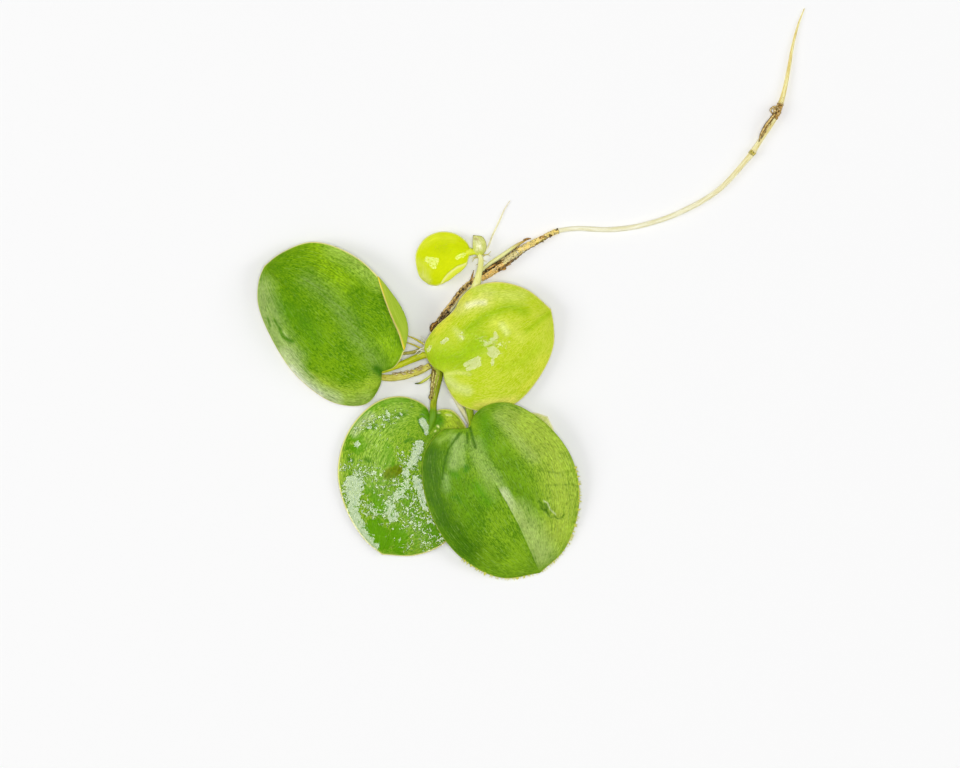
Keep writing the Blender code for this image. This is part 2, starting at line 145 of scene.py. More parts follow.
def noise(places, seed):
    """Smooth noise from about -1 to 1 at rows of coordinates, with features about 1 unit across."""
    cell = np.floor(places)
    share = ease(places - cell)
    total = np.zeros(len(places))
    for corner in np.ndindex(*(2,) * places.shape[1]):
        weight = np.prod(np.where(corner, share, 1 - share), axis=1)
        total += weight * lattice_value(cell + corner, seed)
    return total


def rough_noise(places, seed, octaves=3):
    """Noise with finer noise on it, each octave half as strong as the one before."""
    total = np.zeros(len(places))
    for octave in range(octaves):
        total += noise(places * 2.0**octave, seed + octave) / 2.0**octave
    return total


def distance_to_path(places, path):
    """How far each x, y place is from a path of x, y points."""
    path = np.asarray(path, float)
    nearest = np.full(len(places), np.inf)
    for start, end in zip(path, path[1:]):
        along = end - start
        share = np.clip((places - start) @ along / max(along @ along, TINY), 0.0, 1.0)
        gap = np.linalg.norm(places - start - share[:, None] * along, axis=1)
        nearest = np.minimum(nearest, gap)
    return nearest


# Material graphs.


def linear(colour):
    """A display colour of 0 to 255 as the linear values that a shader takes."""
    shares = (value / 255 for value in colour)
    return [share / 12.92 if share <= 0.04045 else ((share + 0.055) / 1.055) ** 2.4 for share in shares]


class Shader:
    """One material's node graph. A value given to it is a number, a colour or another node's output, and
    a method that isn't explained returns the output of the node that it is named after."""

    def __init__(self, name, roughness=0.5, specular=0.2):
        self.material = bpy.data.materials.new(name)
        self.material.use_nodes = True
        self.tree = self.material.node_tree
        self.surface = self.tree.nodes["Principled BSDF"]
        self.set("Roughness", roughness)
        self.set("Specular IOR Level", specular)

    def feed(self, socket, value):
        if isinstance(value, bpy.types.NodeSocket):
            self.tree.links.new(value, socket)
        else:
            socket.default_value = value

    def set(self, name, value):
        self.feed(self.surface.inputs[name], value)

    def node(self, kind, inputs=(), **settings):
        made = self.tree.nodes.new(kind)
        for key, value in settings.items():
            setattr(made, key, value)
        for key, value in dict(inputs).items():
            self.feed(made.inputs[key], value)
        return made

    def place(self):
        """The place on the object, in mm."""
        return self.scaled(self.node("ShaderNodeTexCoord").outputs["Object"], (1 / MM,) * 3)

    def attribute(self, name, output="Fac"):
        return self.node("ShaderNodeAttribute", attribute_name=name).outputs[output]

    def scaled(self, vector, factors):
        made = self.node("ShaderNodeVectorMath", {0: vector, 1: factors}, operation="MULTIPLY")
        return made.outputs[0]

    def axes(self, vector):
        return self.node("ShaderNodeSeparateXYZ", {0: vector}).outputs

    def noise(self, vector, scale, detail=3.0, roughness=0.5, distortion=0.0):
        """Noise with that many features to a mm, on all axes or on each."""
        factors = scale if isinstance(scale, tuple) else (scale,) * 3
        inputs = {
            "Vector": self.scaled(vector, factors),
            "Scale": 1.0,
            "Detail": detail,
            "Roughness": roughness,
            "Distortion": distortion,
        }
        return self.node("ShaderNodeTexNoise", inputs).outputs["Fac"]

    def math(self, operation, first, second=0.0):
        return self.node("ShaderNodeMath", {0: first, 1: second}, operation=operation).outputs[0]

    def times(self, first, second):
        return self.math("MULTIPLY", first, second)

    def total(self, start, *parts):
        """The start value plus each (value, weight), with a value's middle taken as 0.5."""
        made = start
        for value, weight in parts:
            centred = self.math("SUBTRACT", value, 0.5)
            made = self.math("ADD", made, self.times(centred, weight))
        return made

    def between(self, value, low, high, start=0.0, end=1.0):
        """Start where the value is low or under, end where it is high or over, and smooth between."""
        inputs = {"Value": value, "From Min": low, "From Max": high, "To Min": start, "To Max": end}
        return self.node("ShaderNodeMapRange", inputs, interpolation_type="SMOOTHSTEP").outputs[0]

    def mix(self, share, first, second):
        """The second colour to that share, over the first. A tuple is a display colour."""
        made = self.node("ShaderNodeMix", {0: share}, data_type="RGBA")
        for index, colour in ((6, first), (7, second)):
            self.feed(made.inputs[index], (*linear(colour), 1.0) if isinstance(colour, tuple) else colour)
        return made.outputs[2]

    def shades(self, tone, dark, base, light):
        """Dark where the tone is 0, base where it is 0.5 and light where it is 1."""
        colour = self.mix(self.between(tone, 0.0, 0.5), dark, base)
        return self.mix(self.between(tone, 0.5, 1.0), colour, light)

    def bump(self, height, depth, strength=1.0):
        """Feeds a bump of that depth in mm to the surface, and returns it."""
        inputs = {"Height": height, "Distance": depth * MM, "Strength": strength}
        made = self.node("ShaderNodeBump", inputs).outputs["Normal"]
        self.set("Normal", made)
        return made


# Meshes.


def new_object(name, data):
    """An object of that mesh, light or camera, in the scene."""
    made = bpy.data.objects.new(name, data)
    bpy.context.scene.collection.objects.link(made)
    return made


def add_piece(name, points, faces, material, replaced=None, slot=None, fields=()):
    """A mesh object in metres that rides with the plant. Fields are named values of its points."""
    mesh = bpy.data.meshes.new(name)
    mesh.from_pydata((MM * np.asarray(points)).tolist(), [], faces)
    for key, values in dict(fields).items():
        values = np.asarray(values, np.float32)
        kind, target = ("FLOAT_VECTOR", "vector") if values.ndim == 2 else ("FLOAT", "value")
        mesh.attributes.new(key, kind, "POINT").data.foreach_set(target, values.ravel())
    mesh.shade_smooth()
    mesh.materials.append(material)
    piece = new_object(name, mesh)
    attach(piece, "root")
    if replaced:
        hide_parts(replaced)


def on_surface(points):
    """The points, with none of them under the surface that the plant lies on."""
    points[:, 2] = np.maximum(points[:, 2], 0.0)
    return points


def joined(meshes):
    """One set of points, faces and field values from several (points, faces, field) meshes."""
    points, faces, fields, count = [], [], [], 0
    for own_points, own_faces, own_field in meshes:
        points.append(own_points)
        fields.append(own_field)
        faces.extend(tuple(corner + count for corner in face) for face in own_faces)
        count += len(own_points)
    return np.vstack(points), faces, np.concatenate(fields)


# Blades.


@dataclass
class Roll:
    """A stretch of margin that curls over by a turn in degrees, between two stations from 0 at the notch
    to 1 at the tip. One that tapers is a fold, widest in the middle and nothing at its ends."""

    side: int
    start: float
    end: float
    reach: float
    rise: float
    turn: float
    up: bool = True
    tapers: bool = False


@dataclass
class Dent:
    """A fold or groove in the top of a blade, along a path of x, y points. A ridge has a depth under 0."""

    path: list
    width: float
    depth: float


@dataclass
class Blade:
    """One leaf blade, as x, y, z points: its midrib from the notch to the tip, and its margins between
    the two, the one on the left hand of that way first."""

    rib: list
    margins: tuple
    half_thickness: float
    pad: float
    bow: float = 2.0
    rib_lag: float = 1.6
    rolls: list = field(default_factory=list)
    dents: list = field(default_factory=list)
    stations: int = BLADE_STATIONS
    rings: int = BLADE_RINGS
    veins: int = 5
    vein_height: float = 0.03
    ripple: float = 0.05
    seed: int = 1


def margin_route(blade, side):
    """One whole margin of a blade, from the notch to the tip."""
    return [blade.rib[0], *blade.margins[side], blade.rib[-1]]


def roll_at(blade, side, stations):
    """The reach, rise, turn and direction of the margin's bend at each station."""
    soft_bend = (SOFT_REACH, SOFT_REACH, math.radians(SOFT_TURN), -1.0)
    reach, rise, turn, upward = (np.full(len(stations), value) for value in soft_bend)
    for roll in blade.rolls:
        if roll.side != side:
            continue
        if roll.tapers:
            fold_margin(roll, stations, reach, rise, turn, upward)
            continue
        share = ease((stations - roll.start) / ROLL_BLEND + 0.5)
        share = share * ease((roll.end - stations) / ROLL_BLEND + 0.5)
        reach += share * (roll.reach - reach)
        rise += share * (roll.rise - rise)
        turn += share * (math.radians(roll.turn) - turn)
        if roll.up:
            upward += share * (1.0 - upward)
    return reach, rise, turn, upward


def fold_margin(roll, stations, reach, rise, turn, upward):
    """Sets the bend of a tapered fold, and lets the soft bend on both sides of it run out."""
    share = (stations - roll.start) / (roll.end - roll.start)
    beside = np.maximum(-share, share - 1) * (roll.end - roll.start)
    reach *= ease(beside / ROLL_BLEND)
    rise *= ease(beside / ROLL_BLEND)
    inside = beside < 0
    profile = np.sin(math.pi * np.clip(share, 0.0, 1.0)) ** FOLD_FULLNESS
    reach[inside] = roll.reach * profile[inside]
    rise[inside] = roll.rise * profile[inside] ** 0.5
    turn[inside] = math.radians(roll.turn)
    upward[inside] = 1.0 if roll.up else -1.0


def bend_section(blade, side, stations, width):
    """How far out from the midrib each ring of each section lies, and how far its bend lifts it."""
    reach, rise, turn, upward = roll_at(blade, side, stations)
    overhang = reach * np.sin(np.minimum(turn, math.pi / 2))
    shrink = np.minimum(1.0, MOST_OVERHANG * width / np.maximum(overhang, TINY))
    inner = (width - overhang * shrink)[:, None]
    angle = turn[:, None] * np.linspace(0.0, 1.0, ROLL_RINGS + 1)[1:]
    flat = inner * np.linspace(0.0, 1.0, blade.rings + 1)
    bend = inner + (reach * shrink)[:, None] * np.sin(angle)
    lift = (upward * rise * shrink)[:, None] * (1 - np.cos(angle))
    return np.hstack([flat, bend]), np.hstack([np.zeros_like(flat), lift])


def blade_thickness(blade, stations, ring):
    """How far the top and the underside stand off the middle of the blade. A ring is 0 at the midrib
    and 1 at the margin."""
    ends = np.sin(math.pi * stations)[:, None]
    half = blade.half_thickness * np.sqrt(np.maximum(1 - ring**EDGE_POWER, 0.0))
    half = half * (1 - EDGE_THINNING * ease(2 * ring - 1))
    half = half * np.minimum(1.0, END_FULLNESS * ends**END_POWER)
    pad = blade.pad * ease((1 - ring / PAD_EDGE) * PAD_FADE) * ease(PAD_END_FADE * ends)
    return half, half + pad


RIPPLE_SCALE = (0.30, 0.45)
GRAIN_SCALE = (1.1, 4.5)
GRAIN_SHARE = 0.18
VEIN_WIDTH = 0.035
RIB_GROOVE_DEPTH = 0.09
RIB_GROOVE_WIDTH = 0.45
MARGIN_FADE = 1.0
END_FADE = 6
UNDER_VEINS = 3


def blade_relief(blade, vein, places, under):
    """How far the skin stands off the plain form: ripples, veins, the midrib's groove and the dents.

    A vein row is the way along the veins, across them and in from the margin, all in mm.
    """
    along, across, margin = vein.T
    reference = np.abs(across).max()
    wave = blade.ripple * rough_noise(vein[:, :2] * RIPPLE_SCALE, blade.seed, octaves=2)
    grain = GRAIN_SHARE * blade.ripple * noise(vein[:, :2] * GRAIN_SCALE, blade.seed + 9)
    share = np.abs(across) / reference
    to_vein = np.abs((share * blade.veins + 0.5) % 1 - 0.5) / blade.veins
    ridge = blade.vein_height * np.exp(-((to_vein / VEIN_WIDTH) ** 2)) * (share > 0.5 / blade.veins)
    groove = RIB_GROOVE_DEPTH * np.exp(-((across / RIB_GROOVE_WIDTH) ** 2))
    relief = wave + grain + (UNDER_VEINS * ridge + groove if under else ridge - groove)
    if not under:
        for dent in blade.dents:
            relief -= dent.depth * np.exp(-((distance_to_path(places, dent.path) / dent.width) ** 2))
    return relief * ease(margin / MARGIN_FADE) * ease(END_FADE * np.sin(math.pi * along / along.max()))


def blade_half(blade, side, stations):
    """Both faces of one half of a blade, as (station, ring, xyz) arrays, and its points' vein rows."""
    rib = smooth_path(blade.rib, stations**blade.rib_lag)
    margin = smooth_path(margin_route(blade, side), stations)
    across = margin[:, :2] - rib[:, :2]
    width = np.linalg.norm(across, axis=1)
    outward = unit(across)

    distance, lift = bend_section(blade, side, stations, width)
    share = distance / np.maximum(width, TINY)[:, None]
    height = rib[:, 2:] + (margin[:, 2:] - rib[:, 2:]) * share**blade.bow + lift

    steps = np.hypot(np.diff(distance, axis=1), np.diff(height, axis=1))
    travelled = np.hstack([np.zeros((len(stations), 1)), np.cumsum(steps, axis=1)])
    reach = np.maximum(travelled[:, -1:], TINY)
    ring = travelled / reach
    above, below = blade_thickness(blade, stations, ring)

    length = np.linalg.norm(np.diff(rib, axis=0), axis=1).sum()
    sign = 1 if side == LEFT_HAND else -1
    vein = np.dstack([
        np.broadcast_to(stations[:, None] * length, ring.shape),
        sign * ring * reach.max(),
        reach - travelled,
    ])

    along = np.gradient(distance, axis=1)
    up = np.gradient(height, axis=1)
    span = np.maximum(np.hypot(along, up), TINY)

    def place(offset):
        plan = distance - up / span * offset
        xy = rib[:, None, :2] + outward[:, None, :] * plan[:, :, None]
        return np.dstack([xy, height + along / span * offset])

    rows = vein.reshape(-1, 3)
    plain = place(above)[:, :, :2].reshape(-1, 2)
    top_relief = blade_relief(blade, rows, plain, under=False).reshape(ring.shape)
    bottom_relief = blade_relief(blade, rows, plain, under=True).reshape(ring.shape)
    return place(above + top_relief), place(-below - bottom_relief), vein


def ring_faces(grid, notch, tip):
    """Faces between the rings of a half's face: a corner at the notch, a strip, a corner at the tip."""
    faces = []
    for inner, outer in zip(grid.T.tolist(), grid.T[1:].tolist()):
        faces.append((notch, inner[0], outer[0]))
        for row in range(len(inner) - 1):
            faces.append((inner[row], inner[row + 1], outer[row + 1], outer[row]))
        faces.append((inner[-1], tip, outer[-1]))
    return faces


def blade_mesh(blade):
    """Points, faces, vein rows and the share of underside of a closed blade."""
    stations = np.linspace(0.0, 1.0, blade.stations + 1)[1:-1]
    notch, tip = 0, 1
    points = [np.array([blade.rib[0], blade.rib[-1]], float)]
    count = 2
    grids, veins, unders = {}, [], [np.zeros(2)]
    for side in (LEFT_HAND, RIGHT_HAND):
        top, bottom, vein = blade_half(blade, side, stations)
        top[:, -1] = (top[:, -1] + bottom[:, -1]) / 2
        for face, rows in (("top", top), ("bottom", bottom)):
            grid = np.zeros(rows.shape[:2], int)
            first = 0 if side == LEFT_HAND else 1
            last = rows.shape[1] - (1 if face == "bottom" else 0)
            own = rows[:, first:last].reshape(-1, 3)
            grid[:, first:last] = np.arange(count, count + len(own)).reshape(len(stations), -1)
            if side == RIGHT_HAND:
                grid[:, 0] = grids[face, LEFT_HAND][:, 0]
            if face == "bottom":
                grid[:, -1] = grids["top", side][:, -1]
            grids[face, side] = grid
            points.append(own)
            veins.append(vein[:, first:last].reshape(-1, 3))
            unders.append(np.full(len(own), 1.0 if face == "bottom" else 0.0))
            count += len(own)
    ends = np.array([[0.0, 0.0, 0.0], [veins[0][:, 0].max(), 0.0, 0.0]])

    faces = []
    for (face, side), grid in grids.items():
        flipped = (face == "top") == (side == RIGHT_HAND)
        for loop in ring_faces(grid, notch, tip):
            faces.append(loop[::-1] if flipped else loop)
    return on_surface(np.vstack(points)), faces, np.vstack([ends, *veins]), np.concatenate(unders)


# What a blade is painted with.


@dataclass
class Mark:
    """A patch of a blade's surface: everything within its reach of a path of x, y points, on one side
    of the midrib only if it has a side. Paint has a display colour."""

    path: list
    reach: float
    strength: float = 1.0
    colour: tuple = None
    side: int = None


def mark_share(mark, places, across):
    """From the mark's strength on its path through half of that at its reach to 0 at twice its reach.
    The way across the blade is over 0 on the left hand of the midrib."""
    gap = distance_to_path(places, mark.path) / (2 * mark.reach)
    share = mark.strength * (1 - np.clip(gap, 0.0, 1.0))
    if mark.side is None:
        return share
    inward = across if mark.side == LEFT_HAND else -across
    return share * ease(inward / SIDE_BLEND)


def mark_field(marks, places, across):
    """The strongest share of any of the marks."""
    return np.max([np.zeros(len(places))] + [mark_share(mark, places, across) for mark in marks], axis=0)


def paint_field(marks, places, across):
    """The linear colour of the marks where each lies over those before it, and how much of it shows."""
    colour = np.zeros((len(places), 3))
    shown = np.zeros(len(places))
    for mark in marks:
        share = np.minimum(mark_share(mark, places, across), 1.0)
        colour += share[:, None] * (linear(mark.colour) - colour)
        shown += share * (1 - shown)
    return colour / np.maximum(shown, TINY)[:, None], shown


@dataclass
class Skin:
    """A blade's display colours, its paint, and the marks of level wet film and of dry, matte green.
    The numbers are the strengths of its patterns, from 0 for none."""

    deep: tuple
    light: tuple
    rim: tuple
    under: tuple
    fold_rim: tuple = (226, 226, 130)
    paint: list = field(default_factory=list)
    film: list = field(default_factory=list)
    dry: list = field(default_factory=list)
    dry_colour: tuple = (105, 165, 5)
    line_colour: tuple = (50, 105, 5)
    mottle: float = 0.7
    streak: float = 0.6
    grain: float = 2.4
    brushed: float = 1.0
    # Pale strands of painted sheen along the veins, and their colour.
    sheen_strands: float = 0.4
    sheen_strand_colour: tuple = (160, 190, 96)
    veil: float = 0.008
    film_weight: float = 0.5
    banked: float = 0.0
    soaked: float = 0.0
    ragged: float = 0.6
    outlined: float = 0.0
    rim_width: float = 0.40


# The coat and the lines of a blade, and the field values at the edges of its patches.
COAT_ROUGHNESS = 0.07
COAT_IOR = 1.5
PAINT_GLOSS = 0.12
MOST_PAINT = 0.92
VEIN_GAP = 1.6
VEIN_HALF_WIDTH = 0.10
VEIN_SHADE = 0.25
FILM_EDGE = (0.48, 0.52)
BRINK_EDGE = (0.36, 0.42)
BANK_EDGE = (0.52, 0.66)
DRY_EDGE = (0.44, 0.52)
DRY_SHADE = 0.75
FILM_LEVEL = 12.0
FOLD_RIM_WIDTH = 0.18


def vein_lines(shader, across, wander):
    """1 on thin, broken lines that run along the blade, and 0 between them."""
    distance = shader.math("PINGPONG", shader.total(across, (wander, 0.9)), VEIN_GAP / 2)
    line = shader.between(distance, VEIN_HALF_WIDTH, 0.2 * VEIN_HALF_WIDTH)
    return shader.times(line, shader.between(wander, 0.40, 0.60))


def level_coat(shader, normal, wet):
    """Turns the coat's own normal level where the film is."""
    upward = shader.node("ShaderNodeCombineXYZ", {2: shader.times(wet, FILM_LEVEL)}).outputs[0]
    level = shader.node("ShaderNodeVectorMath", {0: normal, 1: upward}, operation="ADD").outputs[0]
    level = shader.node("ShaderNodeVectorMath", {0: level}, operation="NORMALIZE").outputs[0]
    shader.set("Coat Normal", level)


def torn_patches(shader, ragged, islands, specks, crumbs):
    """The film and dry fields with ragged edges. What adds to the one takes from the other."""
    for key, torn in (("film", ragged), ("dry", -ragged)):
        parts = (islands, 0.5 * torn), (specks, 0.7 * torn), (crumbs, 0.5 * torn)
        yield shader.total(shader.attribute(key), *parts)


def blade_material(name, skin):
    """Streaks along the veins, fine grain, blotches, paint, the rim, and patches of wet film."""
    shader = Shader(name, roughness=0.5, specular=0.03)
    vein = shader.attribute("vein", "Vector")
    place = shader.place()
    _, across, margin = shader.axes(vein)
    under = shader.attribute("under")

    streaks = shader.noise(vein, (0.20, 2.2, 0.0), detail=4.0, roughness=0.65)
    fibres = shader.noise(vein, (0.8, 7.0, 0.0), detail=2.0, roughness=0.6)
    blotches = shader.noise(place, 0.30, detail=4.0, roughness=0.55)
    islands = shader.noise(place, 0.75, detail=3.0, roughness=0.6, distortion=0.6)
    specks = shader.noise(place, 1.5, detail=4.0, roughness=0.7)
    grain = shader.noise(vein, (2.2, 6.4, 0.0), detail=2.0, roughness=0.7)
    crumbs = shader.noise(place, 3.0, detail=2.0, roughness=0.6)

    # Deep to light green, with vein lines.
    tone = shader.total(
        0.5,
        (blotches, 1.7 * skin.mottle),
        (streaks, 1.9 * skin.streak),
        (fibres, 1.9 * skin.streak),
        (specks, 0.4 * skin.grain),
        (grain, 2.8 * skin.grain),
    )
    colour = shader.mix(shader.between(tone, 0.0, 1.0), skin.deep, skin.light)
    lines = vein_lines(shader, across, streaks)
    colour = shader.mix(shader.times(lines, VEIN_SHADE), colour, skin.line_colour)

    # Dry, matte green, and where the film lies off it.
    film, dry = torn_patches(shader, skin.ragged, islands, specks, crumbs)
    dry = shader.between(dry, *DRY_EDGE)
    off_dry = shader.math("SUBTRACT", 1.0, dry)
    wet = shader.times(shader.between(film, *FILM_EDGE), off_dry)
    dry_tone = shader.scaled(linear(skin.dry_colour), shader.between(tone, 0.1, 0.9, DRY_SHADE, 1.0))
    colour = shader.mix(shader.times(dry, 0.9), colour, dry_tone)

    # The paint, brushed on along the veins, and pale strands of painted sheen over it.
    brush = shader.total(
        1.0,
        (streaks, 3.4 * skin.brushed),
        (fibres, 1.7 * skin.brushed),
        (specks, 1.2 * skin.brushed),
        (grain, 1.0 * skin.brushed),
    )
    painted = shader.times(shader.attribute("paint_share"), brush)
    painted = shader.between(painted, 0.0, 1.0, 0.0, MOST_PAINT)
    tint = shader.total(
        1.0,
        (fibres, 1.0 * skin.streak),
        (specks, 0.4 * skin.grain),
        (grain, 1.0 * skin.grain),
        (blotches, 0.6),
    )
    colour = shader.mix(painted, colour, shader.scaled(shader.attribute("paint", "Vector"), tint))
    strand = shader.noise(vein, (0.45, 5.2, 0.0), detail=2.0, roughness=0.5, distortion=0.3)
    strand = shader.times(shader.between(strand, 0.56, 0.66), shader.between(specks, 0.42, 0.56))
    colour = shader.mix(shader.times(strand, skin.sheen_strands), colour, skin.sheen_strand_colour)

    # A dark outline round the film, painted shade at its edge, and darker green under it.
    brink = shader.math("SUBTRACT", shader.between(film, *BRINK_EDGE), wet)
    brink = shader.times(shader.math("MAXIMUM", brink, 0.0), off_dry)
    colour = shader.mix(shader.times(brink, skin.outlined), colour, skin.line_colour)
    soaked = shader.mix(skin.soaked, colour, skin.line_colour)
    colour = shader.mix(wet, colour, soaked)

    # The underside, and the rim of each face.
    back = shader.mix(shader.between(streaks, 0.3, 0.7), skin.under, skin.light)
    colour = shader.mix(under, colour, shader.mix(0.4, back, skin.under))
    rim_width = shader.math("ADD", shader.times(under, FOLD_RIM_WIDTH), skin.rim_width)
    rim = shader.between(shader.total(margin, (streaks, 0.3)), rim_width, 0.3 * skin.rim_width)
    rim_colour = shader.mix(under, skin.rim, skin.fold_rim)
    colour = shader.mix(shader.times(rim, 0.95), colour, rim_colour)
    shader.set("Base Color", colour)
    shader.set("Roughness", shader.total(0.5, (blotches, 0.4), (fibres, -0.3)))

    # The coat: a thin gloss off the dry patches, and the film, strongest along its edge.
    gloss = shader.math("MAXIMUM", shader.times(painted, PAINT_GLOSS), skin.veil)
    gloss = shader.times(gloss, shader.between(streaks, 0.30, 0.65, 0.35, 1.0))
    gloss = shader.times(gloss, off_dry)
    film_weight = shader.between(specks, 0.30, 0.60, 0.75 * skin.film_weight, skin.film_weight)
    bank = shader.between(film, *BANK_EDGE, 1.0 + skin.banked, 1.0)
    film_gloss = shader.times(shader.times(wet, bank), film_weight)
    shader.set("Coat Weight", shader.math("MAXIMUM", gloss, film_gloss))
    shader.set("Coat Roughness", COAT_ROUGHNESS)
    shader.set("Coat IOR", COAT_IOR)

    height = shader.total(0.0, (fibres, 0.7), (grain, 0.8), (specks, 0.6))
    level_coat(shader, shader.bump(height, 0.10, 0.8), wet)
    return shader.material


def add_blade(name, blade, skin, slot):
    points, faces, vein, under = blade_mesh(blade)
    places, across = points[:, :2], vein[:, 1]
    paint, paint_share = paint_field(skin.paint, places, across)
    fields = {
        "vein": vein,
        "under": under,
        "paint": paint,
        "paint_share": paint_share,
        "film": mark_field(skin.film, places, across),
        "dry": mark_field(skin.dry, places, across),
    }
    add_piece(name + "_skin", points, faces, blade_material(name, skin), name, slot, fields)


# The seven blades, each with its skin.


LEAF_LEFT = Blade(
    rib=[(-26.8, -14.2, 4.3), (-33.5, -8.2, 5.6), (-41.5, -1.2, 4.6), (-48.0, 4.9, 2.2)],
    margins=(
        [(-27.1, -16.6, 3.2), (-29.7, -20.0, 1.5), (-35.4, -19.8, 0.6), (-41.9, -15.3, 0.4),
         (-46.1, -9.4, 0.5), (-49.1, -2.2, 0.9), (-49.0, 2.2, 1.6)],
        [(-24.3, -13.1, 4.4), (-22.6, -9.6, 4.6), (-22.4, -5.6, 4.5), (-25.2, 0.0, 4.2),
         (-31.5, 6.5, 3.4), (-39.2, 9.2, 2.4), (-45.0, 7.2, 2.0)],
    ),
    half_thickness=0.38,
    pad=1.5,
    bow=2.4,
    rolls=[
        Roll(RIGHT_HAND, start=0.134, end=0.47, reach=2.9, rise=0.42, turn=172, tapers=True),
        Roll(LEFT_HAND, start=0.22, end=0.80, reach=1.6, rise=0.7, turn=58, up=False),
    ],
    dents=[
        Dent([(-46.1, -4.9), (-45.2, -6.9), (-44.8, -8.5), (-43.2, -9.4)], width=0.35, depth=0.16),
        Dent([(-45.6, -5.0), (-44.4, -7.0), (-43.0, -8.3)], width=0.5, depth=-0.14),
        Dent([(-47.2, -4.8), (-46.6, -6.2)], width=0.2, depth=0.1),
    ],
    seed=11,
)
# Painted shade in the creases of the left slope, and painted highlights on their ridges.
LEFT_CREASE_SHADE, LEFT_CREASE_HIGHLIGHT = (74, 130, 10), (172, 200, 110)
LEAF_LEFT_SKIN = Skin(
    deep=(80, 134, 2),
    light=(132, 176, 18),
    rim=(252, 244, 160),
    under=(178, 200, 66),
    fold_rim=(255, 222, 50),
    paint=[
        Mark([(-38.5, 8.7), (-36.4, 4.4), (-34.0, 2.0)], 2.0, 0.75, (150, 192, 18)),
        Mark([(-26.2, -9.0), (-24.4, -11.4)], 1.5, 0.7, (146, 188, 22)),
        Mark([(-44.6, -3.0), (-41.0, -4.4), (-39.0, -8.5)], 1.8, 0.55, (84, 142, 2)),
        Mark([(-35.4, 8.0), (-32.2, 6.2), (-29.3, 3.7), (-27.4, 2.0)], 1.4, 0.85, (164, 198, 76)),
        # Painted sheen along the midrib and down the left slope.
        Mark([(-40.3, 2.3), (-36.4, -0.5), (-33.9, -3.7), (-30.8, -8.7), (-27.8, -13.0)],
             1.5, 0.60, (126, 160, 66)),
        Mark([(-48.6, 0.8), (-48.2, -2.4), (-47.2, -5.4), (-45.8, -8.2), (-43.0, -12.0)],
             1.9, 1.0, (156, 182, 98)),
        # Yellow-green bands near the lower margin.
        Mark([(-39.4, -15.6), (-34.7, -17.6), (-30.8, -17.6), (-28.2, -16.2)],
             1.1, 0.9, (162, 192, 52)),
        Mark([(-36.0, -18.8), (-32.0, -19.6), (-29.4, -18.8)], 1.0, 0.9, (168, 196, 84)),
        # Painted reflection along the lower left margin where it curls down, whitest at its edge.
        Mark([(-44.4, -11.4), (-41.9, -15.0), (-38.6, -17.9), (-35.6, -19.3)],
             1.1, 1.2, (196, 212, 148)),
        Mark([(-43.4, -13.8), (-41.0, -16.4), (-38.2, -18.6)], 0.6, 1.3, (226, 232, 200)),
        # Painted shade in the creases of the left slope, with painted highlights on their ridges.
        Mark([(-46.2, -4.8), (-45.4, -6.0)], 0.18, 0.9, LEFT_CREASE_SHADE),
        Mark([(-45.2, -6.4), (-44.7, -7.8), (-43.6, -8.5), (-42.8, -8.7)], 0.24, 1.2, LEFT_CREASE_SHADE),
        Mark([(-45.4, -7.4), (-44.9, -8.6), (-43.6, -9.4)], 0.15, 1.2, LEFT_CREASE_HIGHLIGHT),
        Mark([(-44.6, -7.0), (-43.8, -7.8)], 0.12, 1.0, LEFT_CREASE_HIGHLIGHT),
        Mark([(-47.4, -4.4), (-46.9, -6.0)], 0.14, 1.0, LEFT_CREASE_SHADE),
        # A dark green spot at the notch.
        Mark([(-27.8, -13.6), (-27.1, -14.3)], 0.5, 1.2, (60, 118, 8)),
    ],
    mottle=1.1,
    streak=0.8,
    grain=1.8,
    sheen_strands=0.5,
    sheen_strand_colour=(150, 186, 76),
)


LEAF_UPPER_RIGHT = Blade(
    rib=[(-15.8, -14.3, 5.0), (-9.0, -10.4, 5.3), (-2.5, -6.6, 4.0), (3.6, -2.9, 2.2)],
    margins=(
        [(-18.0, -12.9, 4.4), (-19.2, -9.7, 4.0), (-17.4, -6.4, 3.5), (-13.9, -3.1, 3.8),
         (-12.7, -1.0, 4.1), (-10.7, 0.9, 4.4), (-6.1, 2.0, 3.9), (-0.7, 0.6, 2.7)],
        [(-15.4, -16.2, 4.7), (-13.2, -19.7, 4.2), (-10.6, -21.0, 3.7), (-6.8, -21.2, 2.9),
         (-2.5, -19.7, 2.0), (1.7, -14.9, 1.4), (4.0, -9.8, 1.3), (4.1, -5.9, 1.6)],
    ),
    half_thickness=0.32,
    pad=0.5,
    rolls=[Roll(LEFT_HAND, start=0.12, end=0.62, reach=1.5, rise=0.8, turn=75, up=False)],
    seed=23,
)
DEEP_GREEN, YELLOW_GREEN = (156, 196, 0), (224, 226, 66)
